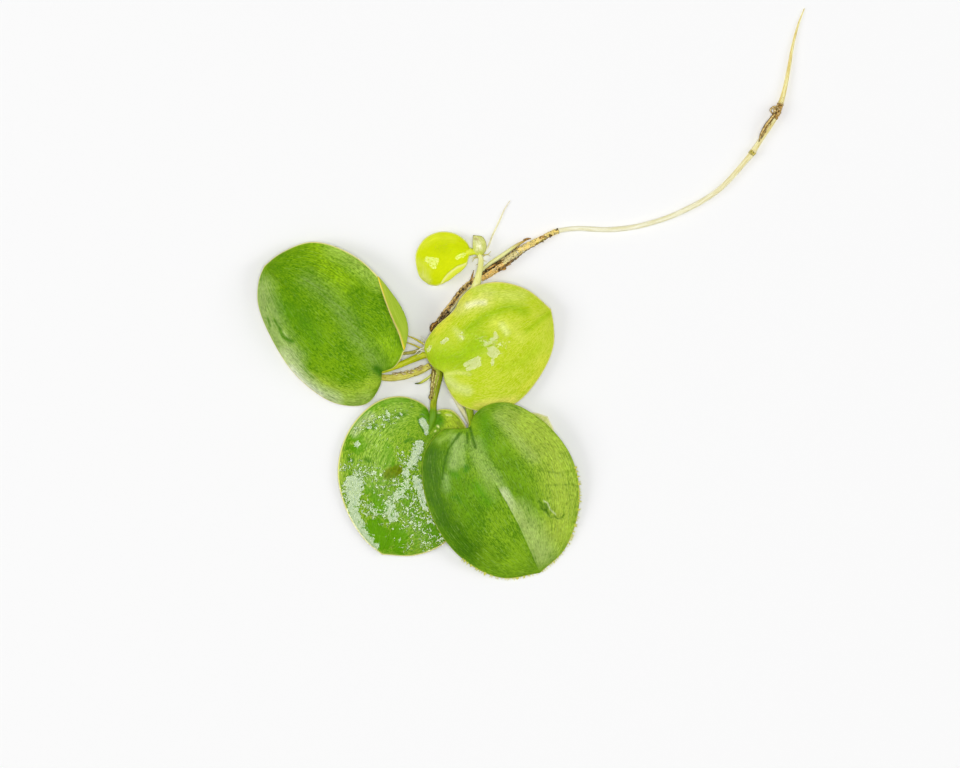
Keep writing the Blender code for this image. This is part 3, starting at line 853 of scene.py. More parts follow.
LEAF_UPPER_RIGHT_SKIN = Skin(
    deep=(184, 210, 0),
    light=(216, 228, 78),
    rim=(240, 232, 130),
    under=(215, 220, 90),
    paint=[
        Mark([(-16.8, -12.0), (-12.4, -11.4), (-9.4, -9.2)], 2.3, 0.9, DEEP_GREEN),
        Mark([(-11.3, -6.4), (-8.6, -4.4), (-3.9, -2.4), (-1.2, -3.3)], 0.9, 0.75, DEEP_GREEN),
        Mark([(-0.8, -6.8), (3.3, -3.6)], 0.5, 0.85, (168, 200, 12)),
        Mark([(-6.4, -5.2), (-3.0, -6.4), (-1.6, -8.4)], 0.8, 0.7, (216, 228, 84)),
        Mark([(-4.6, -13.4), (-1.5, -12.3), (1.4, -9.7)], 0.9, 0.6, (180, 210, 20)),
        Mark([(-10.6, 1.4), (-5.4, -0.4), (-1.6, -0.4)], 1.2, 0.6, (208, 224, 104)),
        Mark([(2.6, -11.4), (1.0, -14.8), (-1.9, -17.8)], 0.7, 0.45, YELLOW_GREEN),
        # Painted sheen in streaks on the lower left lobe, fanning from the notch.
        Mark([(-14.8, -15.8), (-13.4, -17.0), (-11.4, -17.6)], 0.8, 0.85, (218, 230, 132)),
        # A paler green below the notch.
        Mark([(-15.3, -14.6), (-13.2, -14.3), (-11.0, -14.6)], 0.30, 0.8, (224, 234, 120)),
        Mark([(-9.9, -20.2), (-7.2, -19.5), (-3.0, -19.2)], 0.6, 0.8, (230, 226, 100)),
        Mark([(-17.0, -6.8), (-15.2, -5.0), (-13.2, -2.4), (-11.6, -0.4)], 0.7, 0.9, YELLOW_GREEN),
        Mark([(-12.6, -2.8), (-10.6, -2.0), (-8.2, -1.4)], 1.1, 0.8, (226, 230, 116)),
        # A painted highlight on the rolled upper left margin.
        Mark([(-11.4, -2.3), (-9.8, -1.8), (-8.4, -1.7)], 0.40, 0.9, (242, 242, 188)),
        # Paler green spots.
        Mark([(-5.2, -5.8), (-4.4, -7.2)], 0.5, 0.9, (222, 234, 130)),
        Mark([(-13.6, -6.6), (-12.6, -8.0)], 0.5, 0.8, (222, 234, 120)),
    ],
    film=[
        Mark([(-16.0, -8.9), (-15.1, -8.3)], 0.24, 2.0),
        Mark([(-18.5, -10.3), (-18.2, -9.7)], 0.22, 2.0),
        Mark([(-6.5, -7.3), (-6.2, -8.0), (-6.9, -8.4)], 0.22, 2.4),
        Mark([(-7.3, -8.9), (-8.3, -9.3)], 0.14, 2.4),
        Mark([(-7.6, -10.1), (-6.7, -9.9), (-5.9, -10.8), (-6.8, -11.5), (-7.5, -10.9)], 0.24, 2.4),
        Mark([(-6.9, -10.8), (-6.7, -10.5)], 0.36, 2.4),
        Mark([(-6.8, -11.6), (-7.0, -12.9)], 0.17, 2.4),
        Mark([(-11.8, -12.9), (-9.5, -11.7), (-9.3, -12.9), (-11.4, -13.7)], 0.24, 2.4),
        Mark([(-10.6, -12.9), (-9.9, -12.5)], 0.34, 2.4),
        Mark([(-9.2, -8.6), (-7.6, -8.8), (-6.0, -9.4), (-4.4, -8.8)], 1.1, 0.44),
        Mark([(-13.6, -6.6), (-12.4, -7.8)], 0.7, 0.42),
    ],
    line_colour=(164, 174, 10),
    mottle=0.6,
    grain=1.1,
    brushed=0.35,
    sheen_strands=0.25,
    sheen_strand_colour=(226, 234, 130),
    ragged=1.5,
    film_weight=0.48,
    soaked=0.70,
)


LEAF_LOWER_LEFT = Blade(
    rib=[(-18.4, -25.8, 2.1), (-21.0, -32.5, 2.4), (-24.2, -40.5, 1.9), (-26.8, -47.1, 0.8)],
    margins=(
        [(-17.9, -23.2, 2.1), (-17.2, -21.3, 2.0), (-14.4, -21.0, 1.8), (-11.8, -23.8, 1.5),
         (-10.2, -29.2, 1.2), (-10.7, -36.8, 1.0), (-15.2, -44.7, 0.8), (-20.7, -47.2, 0.7)],
        [(-18.2, -23.2, 2.1), (-18.7, -20.6, 1.9), (-23.0, -18.6, 1.5), (-28.0, -19.7, 1.2),
         (-32.9, -24.9, 1.0), (-34.8, -32.0, 0.9), (-33.2, -39.2, 0.8), (-29.8, -44.6, 0.7)],
    ),
    half_thickness=0.36,
    pad=1.9,
    rib_lag=1.9,
    seed=37,
)
# Painted shade at the dark rims of wet spots, and painted glints of light.
WET_SHADE, GLINT = (62, 122, 4), (226, 238, 150)
LEAF_LOWER_LEFT_SKIN = Skin(
    deep=(84, 142, 0),
    light=(160, 196, 54),
    rim=(246, 240, 150),
    under=(170, 195, 90),
    paint=[
        Mark([(-24.0, -21.0), (-28.0, -24.6), (-27.5, -31.0)], 2.4, 0.7, (160, 198, 78)),
        Mark([(-15.4, -22.2), (-12.6, -24.4)], 1.6, 1.1, (184, 208, 50)),
        Mark([(-34.2, -28.6), (-34.3, -33.4)], 0.6, 0.9, (172, 198, 60)),
        Mark([(-28.8, -22.2), (-30.6, -23.6), (-31.8, -25.2)], 0.60, 1.0, (188, 210, 132)),
        Mark([(-25.6, -32.6), (-24.0, -31.9)], 0.62, 2.6, (108, 126, 0)),
        Mark([(-31.0, -32.5), (-26.5, -35.5), (-22.5, -39.5), (-19.5, -44.0)],
             2.2, 0.4, (146, 184, 84)),
        Mark([(-18.6, -21.8), (-17.4, -22.0), (-16.8, -23.0)], 0.9, 1.7, (84, 146, 6)),
        # Painted shade: dark rims round wet spots, and the dark edge beside the film at the notch.
        Mark([(-20.4, -22.4), (-20.0, -23.7), (-19.4, -24.8), (-18.9, -25.5)], 0.14, 1.4, WET_SHADE),
        Mark([(-29.5, -24.4), (-28.9, -24.0), (-28.4, -24.4), (-27.9, -23.8)], 0.24, 1.0, WET_SHADE),
        Mark([(-32.8, -29.8), (-32.2, -30.4)], 0.26, 1.0, WET_SHADE),
        Mark([(-29.7, -30.0), (-29.2, -30.3)], 0.26, 1.0, WET_SHADE),
        Mark([(-24.0, -22.0), (-22.8, -21.8)], 0.30, 0.9, WET_SHADE),
        Mark([(-26.2, -22.6), (-25.4, -23.0)], 0.26, 0.9, WET_SHADE),
        Mark([(-22.6, -26.8), (-21.6, -26.2)], 0.30, 0.8, WET_SHADE),
        # Painted glints of light near the notch.
        Mark([(-16.7, -21.5), (-16.5, -21.6)], 0.13, 1.3, GLINT),
        Mark([(-15.2, -21.9), (-14.4, -22.0)], 0.13, 1.2, GLINT),
        Mark([(-16.8, -23.9), (-16.7, -24.1)], 0.15, 1.4, GLINT),
        Mark([(-17.3, -24.9), (-17.2, -24.8)], 0.13, 1.3, GLINT),
    ],
    film=[
        Mark([(-19.6, -23.0), (-19.2, -23.7), (-18.8, -24.5)], 0.36, 2.6),
        Mark([(-18.8, -24.5), (-18.8, -25.2)], 0.26, 2.6),
        Mark([(-20.1, -27.2), (-20.8, -29.4), (-21.6, -31.0)], 0.67, 1.3),
        Mark([(-22.5, -32.2), (-22.3, -32.8)], 0.50),
        Mark([(-24.6, -36.8), (-23.4, -35.6), (-22.4, -34.4)], 0.61, 1.3),
        Mark([(-25.7, -38.2), (-25.0, -40.2)], 0.79, 1.3),
        Mark([(-20.6, -33.4), (-19.9, -36.0), (-19.0, -38.4)], 0.55, 1.2),
        Mark([(-31.8, -34.2), (-31.9, -36.4)], 1.30, 1.25),
        Mark([(-32.0, -37.0), (-31.8, -39.8)], 0.92, 1.3),
        Mark([(-31.8, -39.8), (-30.9, -42.0), (-29.5, -44.0), (-28.2, -45.4)], 0.68, 1.6),
        Mark([(-31.1, -27.3), (-30.9, -27.0)], 0.40, 2.4),
        Mark([(-26.0, -21.2), (-25.6, -22.1)], 0.22, 1.2),
        Mark([(-29.3, -24.3), (-28.7, -24.2)], 0.12, 1.6),
        Mark([(-32.5, -30.0), (-32.3, -30.2)], 0.12, 1.6),
        Mark([(-23.5, -21.7), (-23.2, -21.9)], 0.12, 1.6),
        Mark([(-30.0, -23.6), (-26.0, -22.8)], 1.6, 0.34),
        Mark([(-23.4, -29.4), (-22.4, -30.6)], 1.2, 0.44),
        Mark([(-33.0, -31.6), (-28.4, -32.6)], 1.6, 0.42),
        Mark([(-29.8, -38.4), (-27.0, -40.0)], 1.2, 0.50),
        Mark([(-22.6, -35.6), (-21.0, -40.0), (-17.6, -43.6), (-15.4, -44.8)], 3.4, 0.42),
    ],
    dry=[
        Mark([(-22.2, -18.9), (-28.0, -20.0), (-31.4, -22.8), (-33.4, -25.6)], 0.6),
        Mark([(-28.3, -42.0), (-26.0, -44.8)], 1.2, 1.3),
        Mark([(-24.0, -43.0), (-23.9, -46.0)], 1.4),
        Mark([(-25.8, -27.6), (-25.6, -31.2)], 0.75),
        Mark([(-17.6, -42.0), (-17.0, -43.0)], 0.9),
        Mark([(-32.2, -27.8), (-31.1, -28.5), (-30.0, -27.4), (-30.6, -26.2), (-32.0, -26.2)], 0.38, 1.6),
        Mark([(-28.4, -35.6), (-27.2, -38.6)], 1.1, 0.9),
        Mark([(-22.8, -36.8), (-20.4, -41.0), (-17.6, -44.0)], 2.8, 0.44),
        Mark([(-27.4, -30.6), (-26.2, -34.8)], 2.2, 0.42),
        Mark([(-25.6, -32.6), (-24.0, -31.9)], 0.62, 2.4),
    ],
    line_colour=(76, 112, 2),
    dry_colour=(100, 166, 0),
    streak=0.9,
    sheen_strands=0.3,
    veil=0.015,
    ragged=2.1,
    outlined=1.25,
    film_weight=0.66,
    banked=0.3,
    soaked=0.45,
)


LEAF_LOWER_RIGHT = Blade(
    rib=[(-11.0, -24.1, 4.7), (-7.7, -32.0, 5.0), (-2.5, -41.5, 3.2), (1.6, -50.4, 0.2)],
    margins=(
        [(-10.3, -22.0, 4.9), (-7.7, -20.1, 4.8), (-3.7, -19.8, 4.4), (2.8, -23.6, 3.3),
         (7.5, -30.0, 2.2), (8.7, -37.7, 1.2), (6.2, -45.9, 0.35)],
        [(-12.3, -24.4, 4.6), (-16.0, -24.7, 4.2), (-19.2, -28.9, 3.8), (-19.3, -35.5, 3.5),
         (-16.4, -43.1, 3.2), (-11.5, -48.5, 1.6), (-5.2, -51.3, 0.4)],
    ),
    half_thickness=0.38,
    pad=1.3,
    bow=1.45,
    dents=[
        Dent([(1.6, -37.6), (2.1, -38.8), (3.2, -39.8), (4.4, -40.3), (5.6, -40.4)],
             width=0.18, depth=0.09),
        Dent([(-13.2, -25.6), (-14.9, -28.2), (-15.7, -31.4), (-16.0, -33.4)], width=0.25, depth=0.12),
    ],
    seed=41,
)
# Painted shade in the front leaf's creases, also the green of its dark cross veins, and a painted sheen.
CREASE_SHADE_AND_VEIN, SHEEN = (66, 112, 10), (198, 214, 154)
LEAF_LOWER_RIGHT_SKIN = Skin(
    deep=(80, 130, 10),
    light=(140, 182, 34),
    rim=(150, 178, 50),
    under=(165, 190, 80),
    paint=[
        # Painted shade: the left half of the fold along the midrib is darker.
        Mark([(-17.8, -28.6), (-18.0, -35.5), (-15.2, -42.0), (-10.5, -47.0)], 2.6, 0.9, (62, 110, 4)),
        Mark([(-13.6, -31.4), (-12.4, -36.4), (-9.8, -41.0)], 1.8, 0.7, (92, 144, 10)),
        # Painted sheen spreading from the notch along the right margin.
        Mark([(-4.2, -21.8), (-1.4, -24.0), (1.4, -27.6)], 1.7, 0.85, (160, 188, 72)),
        # Painted light: the right half of the fold along the midrib is lighter.
        Mark([(0.0, -23.6), (4.4, -29.0), (6.0, -36.0), (4.8, -43.0)],
             3.2, 0.95, (172, 198, 66), LEFT_HAND),
        # A darker green beside the midrib, on its right.
        Mark([(-5.4, -28.4), (-2.4, -34.0), (0.4, -39.5)], 1.9, 0.8, (106, 152, 12), LEFT_HAND),
        # Painted sheen fanning from the notch.
        Mark([(-6.0, -22.2), (-2.6, -26.2), (0.4, -29.8)], 0.8, 0.6, (168, 194, 92)),
        # Deeper green below the notch, and lighter green near the tip.
        Mark([(-8.4, -22.6), (-8.0, -25.6), (-8.6, -27.6)], 1.1, 0.8, (92, 150, 6)),
        Mark([(-8.0, -47.6), (-2.6, -48.6)], 1.6, 0.6, (126, 168, 24)),
        # Painted shade beside the midrib, on its left.
        Mark([(-9.5, -34.9), (-7.6, -37.2)], 1.2, 0.8, (84, 148, 4), RIGHT_HAND),
        # Painted sheen in streaks on the left lobe, beside its crease.
        Mark([(-16.4, -26.6), (-14.4, -25.4)], 0.5, 0.8, (150, 186, 70)),
        Mark([(-13.4, -26.4), (-13.5, -28.8), (-13.9, -31.0)], 0.75, 1.1, (156, 188, 98)),
        Mark([(-12.3, -26.0), (-12.3, -28.4), (-12.4, -30.6)], 0.50, 1.0, (152, 186, 88)),
        Mark([(-15.3, -33.0), (-15.1, -35.2)], 0.55, 0.8, (140, 176, 90)),
        # Painted sheen along the midrib, strongest on its right.
        Mark([(-10.4, -28.4), (-9.2, -31.8), (-7.8, -34.6), (-6.4, -36.6)],
             0.85, 0.7, (138, 176, 60), RIGHT_HAND),
        Mark([(-10.0, -27.2), (-8.8, -30.4), (-6.8, -33.6)], 1.0, 0.9, (152, 186, 84)),
        Mark([(-7.4, -32.6), (-5.2, -36.0)], 0.9, 0.9, (158, 190, 92), LEFT_HAND),
        Mark([(-5.0, -36.0), (-3.6, -38.4), (-2.6, -40.2)], 0.7, 1.2, SHEEN, LEFT_HAND),
        Mark([(-2.6, -40.0), (-0.2, -43.0), (1.9, -46.8)], 1.9, 1.0, (172, 197, 104), LEFT_HAND),
        # Painted shade in the crease of the left lobe.
        Mark([(-12.9, -25.2), (-14.9, -28.2), (-15.7, -31.4), (-16.0, -33.4)], 0.14, 1.1, CREASE_SHADE_AND_VEIN),
        Mark([(-12.4, -25.0), (-13.4, -26.4)], 0.10, 1.0, CREASE_SHADE_AND_VEIN),
        # Dark green blotches.
        Mark([(-11.7, -31.2), (-11.3, -31.6), (-11.8, -32.0)], 0.30, 1.1, (70, 134, 8)),
        Mark([(-14.2, -32.4), (-13.2, -32.9)], 0.40, 0.9, (78, 142, 6)),
        Mark([(-14.1, -36.8), (-13.2, -36.6), (-12.6, -37.6)], 0.24, 1.0, (70, 130, 8)),
        # Painted shade in the crease below the notch.
        Mark([(-11.0, -24.1), (-10.6, -25.6), (-10.0, -27.8)], 0.24, 1.1, CREASE_SHADE_AND_VEIN),
        Mark([(-11.5, -25.2), (-11.4, -27.0)], 0.18, 0.9, CREASE_SHADE_AND_VEIN),
        # Painted shade in a small fold, with a painted sheen on its ridge.
        Mark([(1.4, -37.4), (2.0, -38.0), (1.9, -38.8), (2.8, -39.2), (3.2, -40.0)],
             0.16, 1.1, CREASE_SHADE_AND_VEIN),
        Mark([(2.5, -38.0), (2.9, -38.6), (2.7, -39.0)], 0.24, 1.0, CREASE_SHADE_AND_VEIN),
        Mark([(3.6, -40.3), (4.3, -40.2), (4.7, -40.6), (5.6, -40.4), (6.0, -39.9)],
             0.10, 1.1, CREASE_SHADE_AND_VEIN),
        Mark([(2.3, -37.4), (3.0, -37.8), (3.5, -39.0), (4.4, -39.8)], 0.09, 1.1, SHEEN),
        # Dark cross veins.
        Mark([(2.0, -32.0), (5.0, -32.4), (8.0, -31.8)], 0.14, 0.45, CREASE_SHADE_AND_VEIN),
        Mark([(2.6, -34.6), (7.8, -34.4)], 0.14, 0.45, CREASE_SHADE_AND_VEIN),
    ],
    mottle=1.2,
    streak=0.9,
    grain=1.6,
    brushed=0.7,
    sheen_strands=0.5,
    sheen_strand_colour=(150, 184, 88),
    rim_width=0.26,
)


YOUNG_LEAF = Blade(
    rib=[(-7.9, -31.0, 0.4), (-2.5, -26.6, 0.6), (3.0, -22.2, 0.4)],
    margins=(
        [(-7.2, -26.6, 0.4), (-3.6, -23.0, 0.4), (0.2, -21.5, 0.3)],
        [(-3.9, -32.0, 0.4), (1.3, -30.2, 0.4), (4.2, -25.6, 0.3)],
    ),
    half_thickness=0.26,
    pad=0.0,
    **SMALL,
    veins=3,
    seed=53,
)
YOUNG_LEAF_SKIN = Skin(
    deep=(214, 224, 104),
    light=(236, 240, 168),
    rim=(246, 244, 190),
    under=(220, 225, 140),
    line_colour=(190, 206, 70),
    mottle=0.5,
    grain=1.4,
)


PLANTLET_LEAF = Blade(
    rib=[(-10.9, 7.4, 1.4), (-14.8, 5.4, 1.9), (-18.4, 1.5, 0.4)],
    margins=(
        [(-11.7, 5.1, 1.5), (-13.5, 3.7, 1.4), (-15.3, 2.3, 1.1), (-16.9, 1.3, 0.7)],
        [(-11.4, 8.9, 1.4), (-13.5, 10.6, 1.3), (-16.4, 11.0, 1.0), (-19.1, 9.8, 0.7),
         (-20.7, 7.2, 0.4), (-20.6, 4.6, 0.3), (-19.9, 2.7, 0.3)],
    ),
    half_thickness=0.30,
    pad=0.5,
    rib_lag=1.2,
    rolls=[Roll(LEFT_HAND, start=0.18, end=0.80, reach=1.25, rise=0.28, turn=168, tapers=True)],
    **SMALL,
    veins=3,
    seed=61,
)
PLANTLET_LEAF_SKIN = Skin(
    deep=(202, 220, 0),
    light=(226, 236, 20),
    rim=(240, 244, 120),
    under=(230, 238, 84),
    fold_rim=(244, 246, 150),
    line_colour=(190, 212, 0),
    paint=[
        # Painted highlights on the left of the domed blade.
        Mark([(-20.2, 5.4), (-18.8, 4.0)], 0.8, 0.6, (228, 236, 90)),
        Mark([(-19.6, 3.2), (-18.6, 2.2)], 0.6, 0.8, (232, 238, 120)),
        # Brighter and deeper yellow-green.
        Mark([(-19.8, 8.4), (-17.4, 10.0), (-14.0, 9.8)], 0.6, 0.7, (228, 236, 60)),
        Mark([(-16.0, 8.4), (-13.0, 7.6)], 1.6, 0.6, (202, 220, 0)),
    ],
    film=[
        Mark([(-18.7, 6.0), (-17.0, 5.8), (-17.5, 4.8), (-18.2, 5.6)], 0.30, 2.4),
        Mark([(-13.3, 6.3), (-12.1, 6.9)], 0.26, 1.8),
    ],
    mottle=0.4,
    streak=0.25,
    grain=0.2,
    brushed=0.5,
    sheen_strands=0.0,
    ragged=1.0,
    film_weight=0.30,
)


PLANTLET_SCALE = Blade(
    rib=[(-9.4, 6.5, 1.3), (-9.3, 8.5, 2.1), (-10.4, 10.4, 1.5)],
    margins=(
        [(-10.3, 7.1, 1.4), (-10.5, 8.9, 1.6)],
        [(-8.5, 7.0, 1.2), (-8.0, 8.5, 1.5), (-8.7, 10.1, 1.5)],
    ),
    half_thickness=0.14,
    pad=0.0,
    rib_lag=1.0,
    **SMALL,
    veins=4,
    vein_height=0.04,
    ripple=0.04,
    seed=71,
)
PLANTLET_SCALE_SKIN = Skin(
    deep=(204, 212, 104),
    light=(230, 232, 148),
    rim=(158, 150, 84),
    under=(222, 224, 165),
    line_colour=(170, 170, 90),
    paint=[
        # A painted highlight in the middle of the scale.
        Mark([(-9.9, 9.4), (-9.4, 8.6), (-9.2, 7.9)], 0.45, 0.8, (238, 238, 186)),
        # Yellow-green at its foot and greyish brown near its end.
        Mark([(-9.8, 6.9), (-9.0, 7.2)], 0.4, 0.9, (204, 214, 70)),
        Mark([(-10.1, 9.8), (-9.6, 9.6)], 0.2, 0.9, (188, 176, 110)),
    ],
    film=[Mark([(-9.5, 8.4), (-9.2, 8.2)], 0.22)],
    mottle=0.5,
    grain=1.2,
    rim_width=0.2,
    film_weight=0.2,
)

BLADES = (
    ("leaf_left", LEAF_LEFT, LEAF_LEFT_SKIN, "leaf_green"),
    ("leaf_upper_right", LEAF_UPPER_RIGHT, LEAF_UPPER_RIGHT_SKIN, "leaf_pale"),
    ("leaf_lower_left", LEAF_LOWER_LEFT, LEAF_LOWER_LEFT_SKIN, "leaf_wet"),
    ("leaf_lower_right", LEAF_LOWER_RIGHT, LEAF_LOWER_RIGHT_SKIN, "leaf_green"),
    ("young_leaf", YOUNG_LEAF, YOUNG_LEAF_SKIN, "leaf_pale"),
    ("plantlet_leaf", PLANTLET_LEAF, PLANTLET_LEAF_SKIN, "leaf_bright"),
    ("plantlet_scale", PLANTLET_SCALE, PLANTLET_SCALE_SKIN, "pale_tissue"),
)


# Stalks, roots and strands.


@dataclass
class Stem:
    """A round stalk, root or strand: x, y, z points along its middle, each with a radius, and its display
    colours. The tip colour comes in over a span of shares of the length."""

    route: list
    base: tuple
    light: tuple
    dark: tuple
    spots: float = 0.0
    ribs: int = 9
    rib_depth: float = 0.03
    lumps: float = 0.04
    tip_colour: tuple = None
    tip_span: tuple = (0.60, 0.95)
    roughness: float = 0.45
    slot: str = "stalk"
    seed: int = 1


def stem_rows(route, step=STEM_STEP):
    """Middles, radii, sideways and upward directions and lengths along a finely divided stem."""
    knots = np.asarray(route, float)
    length = np.linalg.norm(np.diff(knots[:, :3], axis=0), axis=1).sum()
    path = smooth_path(route, np.linspace(0.0, 1.0, round(length / step) + 1))
    places, radii = path[:, :3], path[:, 3]
    ahead = unit(np.gradient(places, axis=0))
    beside = unit(np.cross((0.0, 0.0, 1.0), ahead))
    above = np.cross(ahead, beside)
    along = np.linspace(0.0, length, len(places))
    return places, radii, beside, above, along


def tube_faces(rows, sides):
    """Faces of a closed tube. Its rings come first among its points, and its two end points last."""
    start_cap = (rows + 1) * sides
    end_cap = start_cap + 1
    last_ring = rows * sides
    faces = []
    for side in range(sides):
        after = (side + 1) % sides
        faces.append((start_cap, after, side))
        for ring in range(0, last_ring, sides):
            faces.append((ring + side, ring + after, ring + sides + after, ring + sides + side))
        faces.append((end_cap, last_ring + side, last_ring + after))
    return faces


def tube_mesh(route, relief, sides=STEM_SIDES, step=STEM_STEP):
    """Points, faces and stem rows of a tube whose radius grows by relief(turn, along, radius, rounds).

    A stem row, one of the rounds, is the place round the stem and along it, in mm, as if it were straight.
    """
    places, radii, beside, above, along = stem_rows(route, step)
    turns = np.linspace(0.0, 2 * math.pi, sides, endpoint=False)
    turn = np.tile(turns, len(places))
    radius = np.repeat(radii, sides)
    length = np.repeat(along, sides)
    rounds = np.stack([np.cos(turn) * radius, np.sin(turn) * radius, length], axis=1)
    grown = radius + relief(turn, length, radius, rounds)
    spokes = np.cos(turn)[:, None] * np.repeat(beside, sides, axis=0)
    spokes = spokes + np.sin(turn)[:, None] * np.repeat(above, sides, axis=0)
    rings = np.repeat(places, sides, axis=0) + grown[:, None] * spokes
    points = np.vstack([rings, places[0], places[-1]])
    rows = np.vstack([rounds, (0.0, 0.0, 0.0), (0.0, 0.0, along[-1])])
    return on_surface(points), tube_faces(len(places) - 1, sides), rows


SPOT_COLOUR = (95, 60, 20)
SPOT_EDGE = (0.68, 0.76)
SPOT_GROWTH = 0.16
MOST_SPOT = 0.9


def stem_material(name, stem, length):
    """Long fibres, soft blotches, brown specks and a tinted tip."""
    shader = Shader(name, stem.roughness, specular=0.3)
    rounds = shader.attribute("stem", "Vector")
    along = shader.axes(rounds)["Z"]
    fibres = shader.noise(rounds, (5.0, 5.0, 0.35), detail=4.0, roughness=0.6)
    blotches = shader.noise(rounds, (1.1, 1.1, 0.6), detail=5.0, roughness=0.6)
    grain = shader.noise(rounds, (7.0, 7.0, 4.0), detail=3.0)
    tone = shader.total(0.5, (fibres, 1.6), (blotches, 1.2), (grain, 0.4))
    colour = shader.shades(tone, stem.dark, stem.base, stem.light)
    if stem.tip_colour:
        tip = shader.between(along, *(share * length for share in stem.tip_span))
        colour = shader.mix(tip, colour, stem.tip_colour)
    if stem.spots:
        cells = shader.noise(rounds, (3.2, 3.2, 2.2), detail=4.0, roughness=0.7)
        speck = shader.between(cells, *(edge - SPOT_GROWTH * stem.spots for edge in SPOT_EDGE))
        colour = shader.mix(shader.times(speck, MOST_SPOT), colour, SPOT_COLOUR)
    shader.set("Base Color", colour)
    shader.set("Roughness", shader.total(stem.roughness, (blotches, 0.3), (fibres, 0.2)))
    shader.bump(shader.total(0.0, (fibres, 1.0), (grain, 0.5)), 0.06, 0.7)
    return shader.material


ADDED_STEMS = ("plantlet_neck",)


def add_stem(name, stem):
    def relief(turn, along, radius, rounds):
        ribs = stem.rib_depth * np.cos(stem.ribs * turn + 0.25 * along)
        lumps = stem.lumps * rough_noise(rounds * (1.2, 1.2, 0.8), stem.seed)
        return (ribs + lumps) * radius

    points, faces, rows = tube_mesh(stem.route, relief)
    material = stem_material(name, stem, rows[:, 2].max())
    replaced = None if name in ADDED_STEMS else name
    add_piece(name + "_skin", points, faces, material, replaced, stem.slot, {"stem": rows})


# The display colours and slots that several stems share.
GREEN = dict(base=(202, 212, 14), light=(234, 238, 78), dark=(142, 160, 4))
DARK_GREEN = dict(base=(146, 176, 8), light=(192, 208, 48), dark=(98, 130, 4))
OLD = dict(base=(224, 218, 92), light=(242, 240, 168), dark=(184, 168, 58), slot="old_stalk")
ROOTLET = OLD | dict(base=(226, 214, 60), light=(240, 232, 110))
PALE = dict(base=(236, 236, 146), light=(248, 248, 196), dark=(212, 212, 96), slot="pale_tissue")
CREAM = dict(base=(240, 236, 188), light=(250, 248, 220), dark=(216, 204, 132), slot="root")


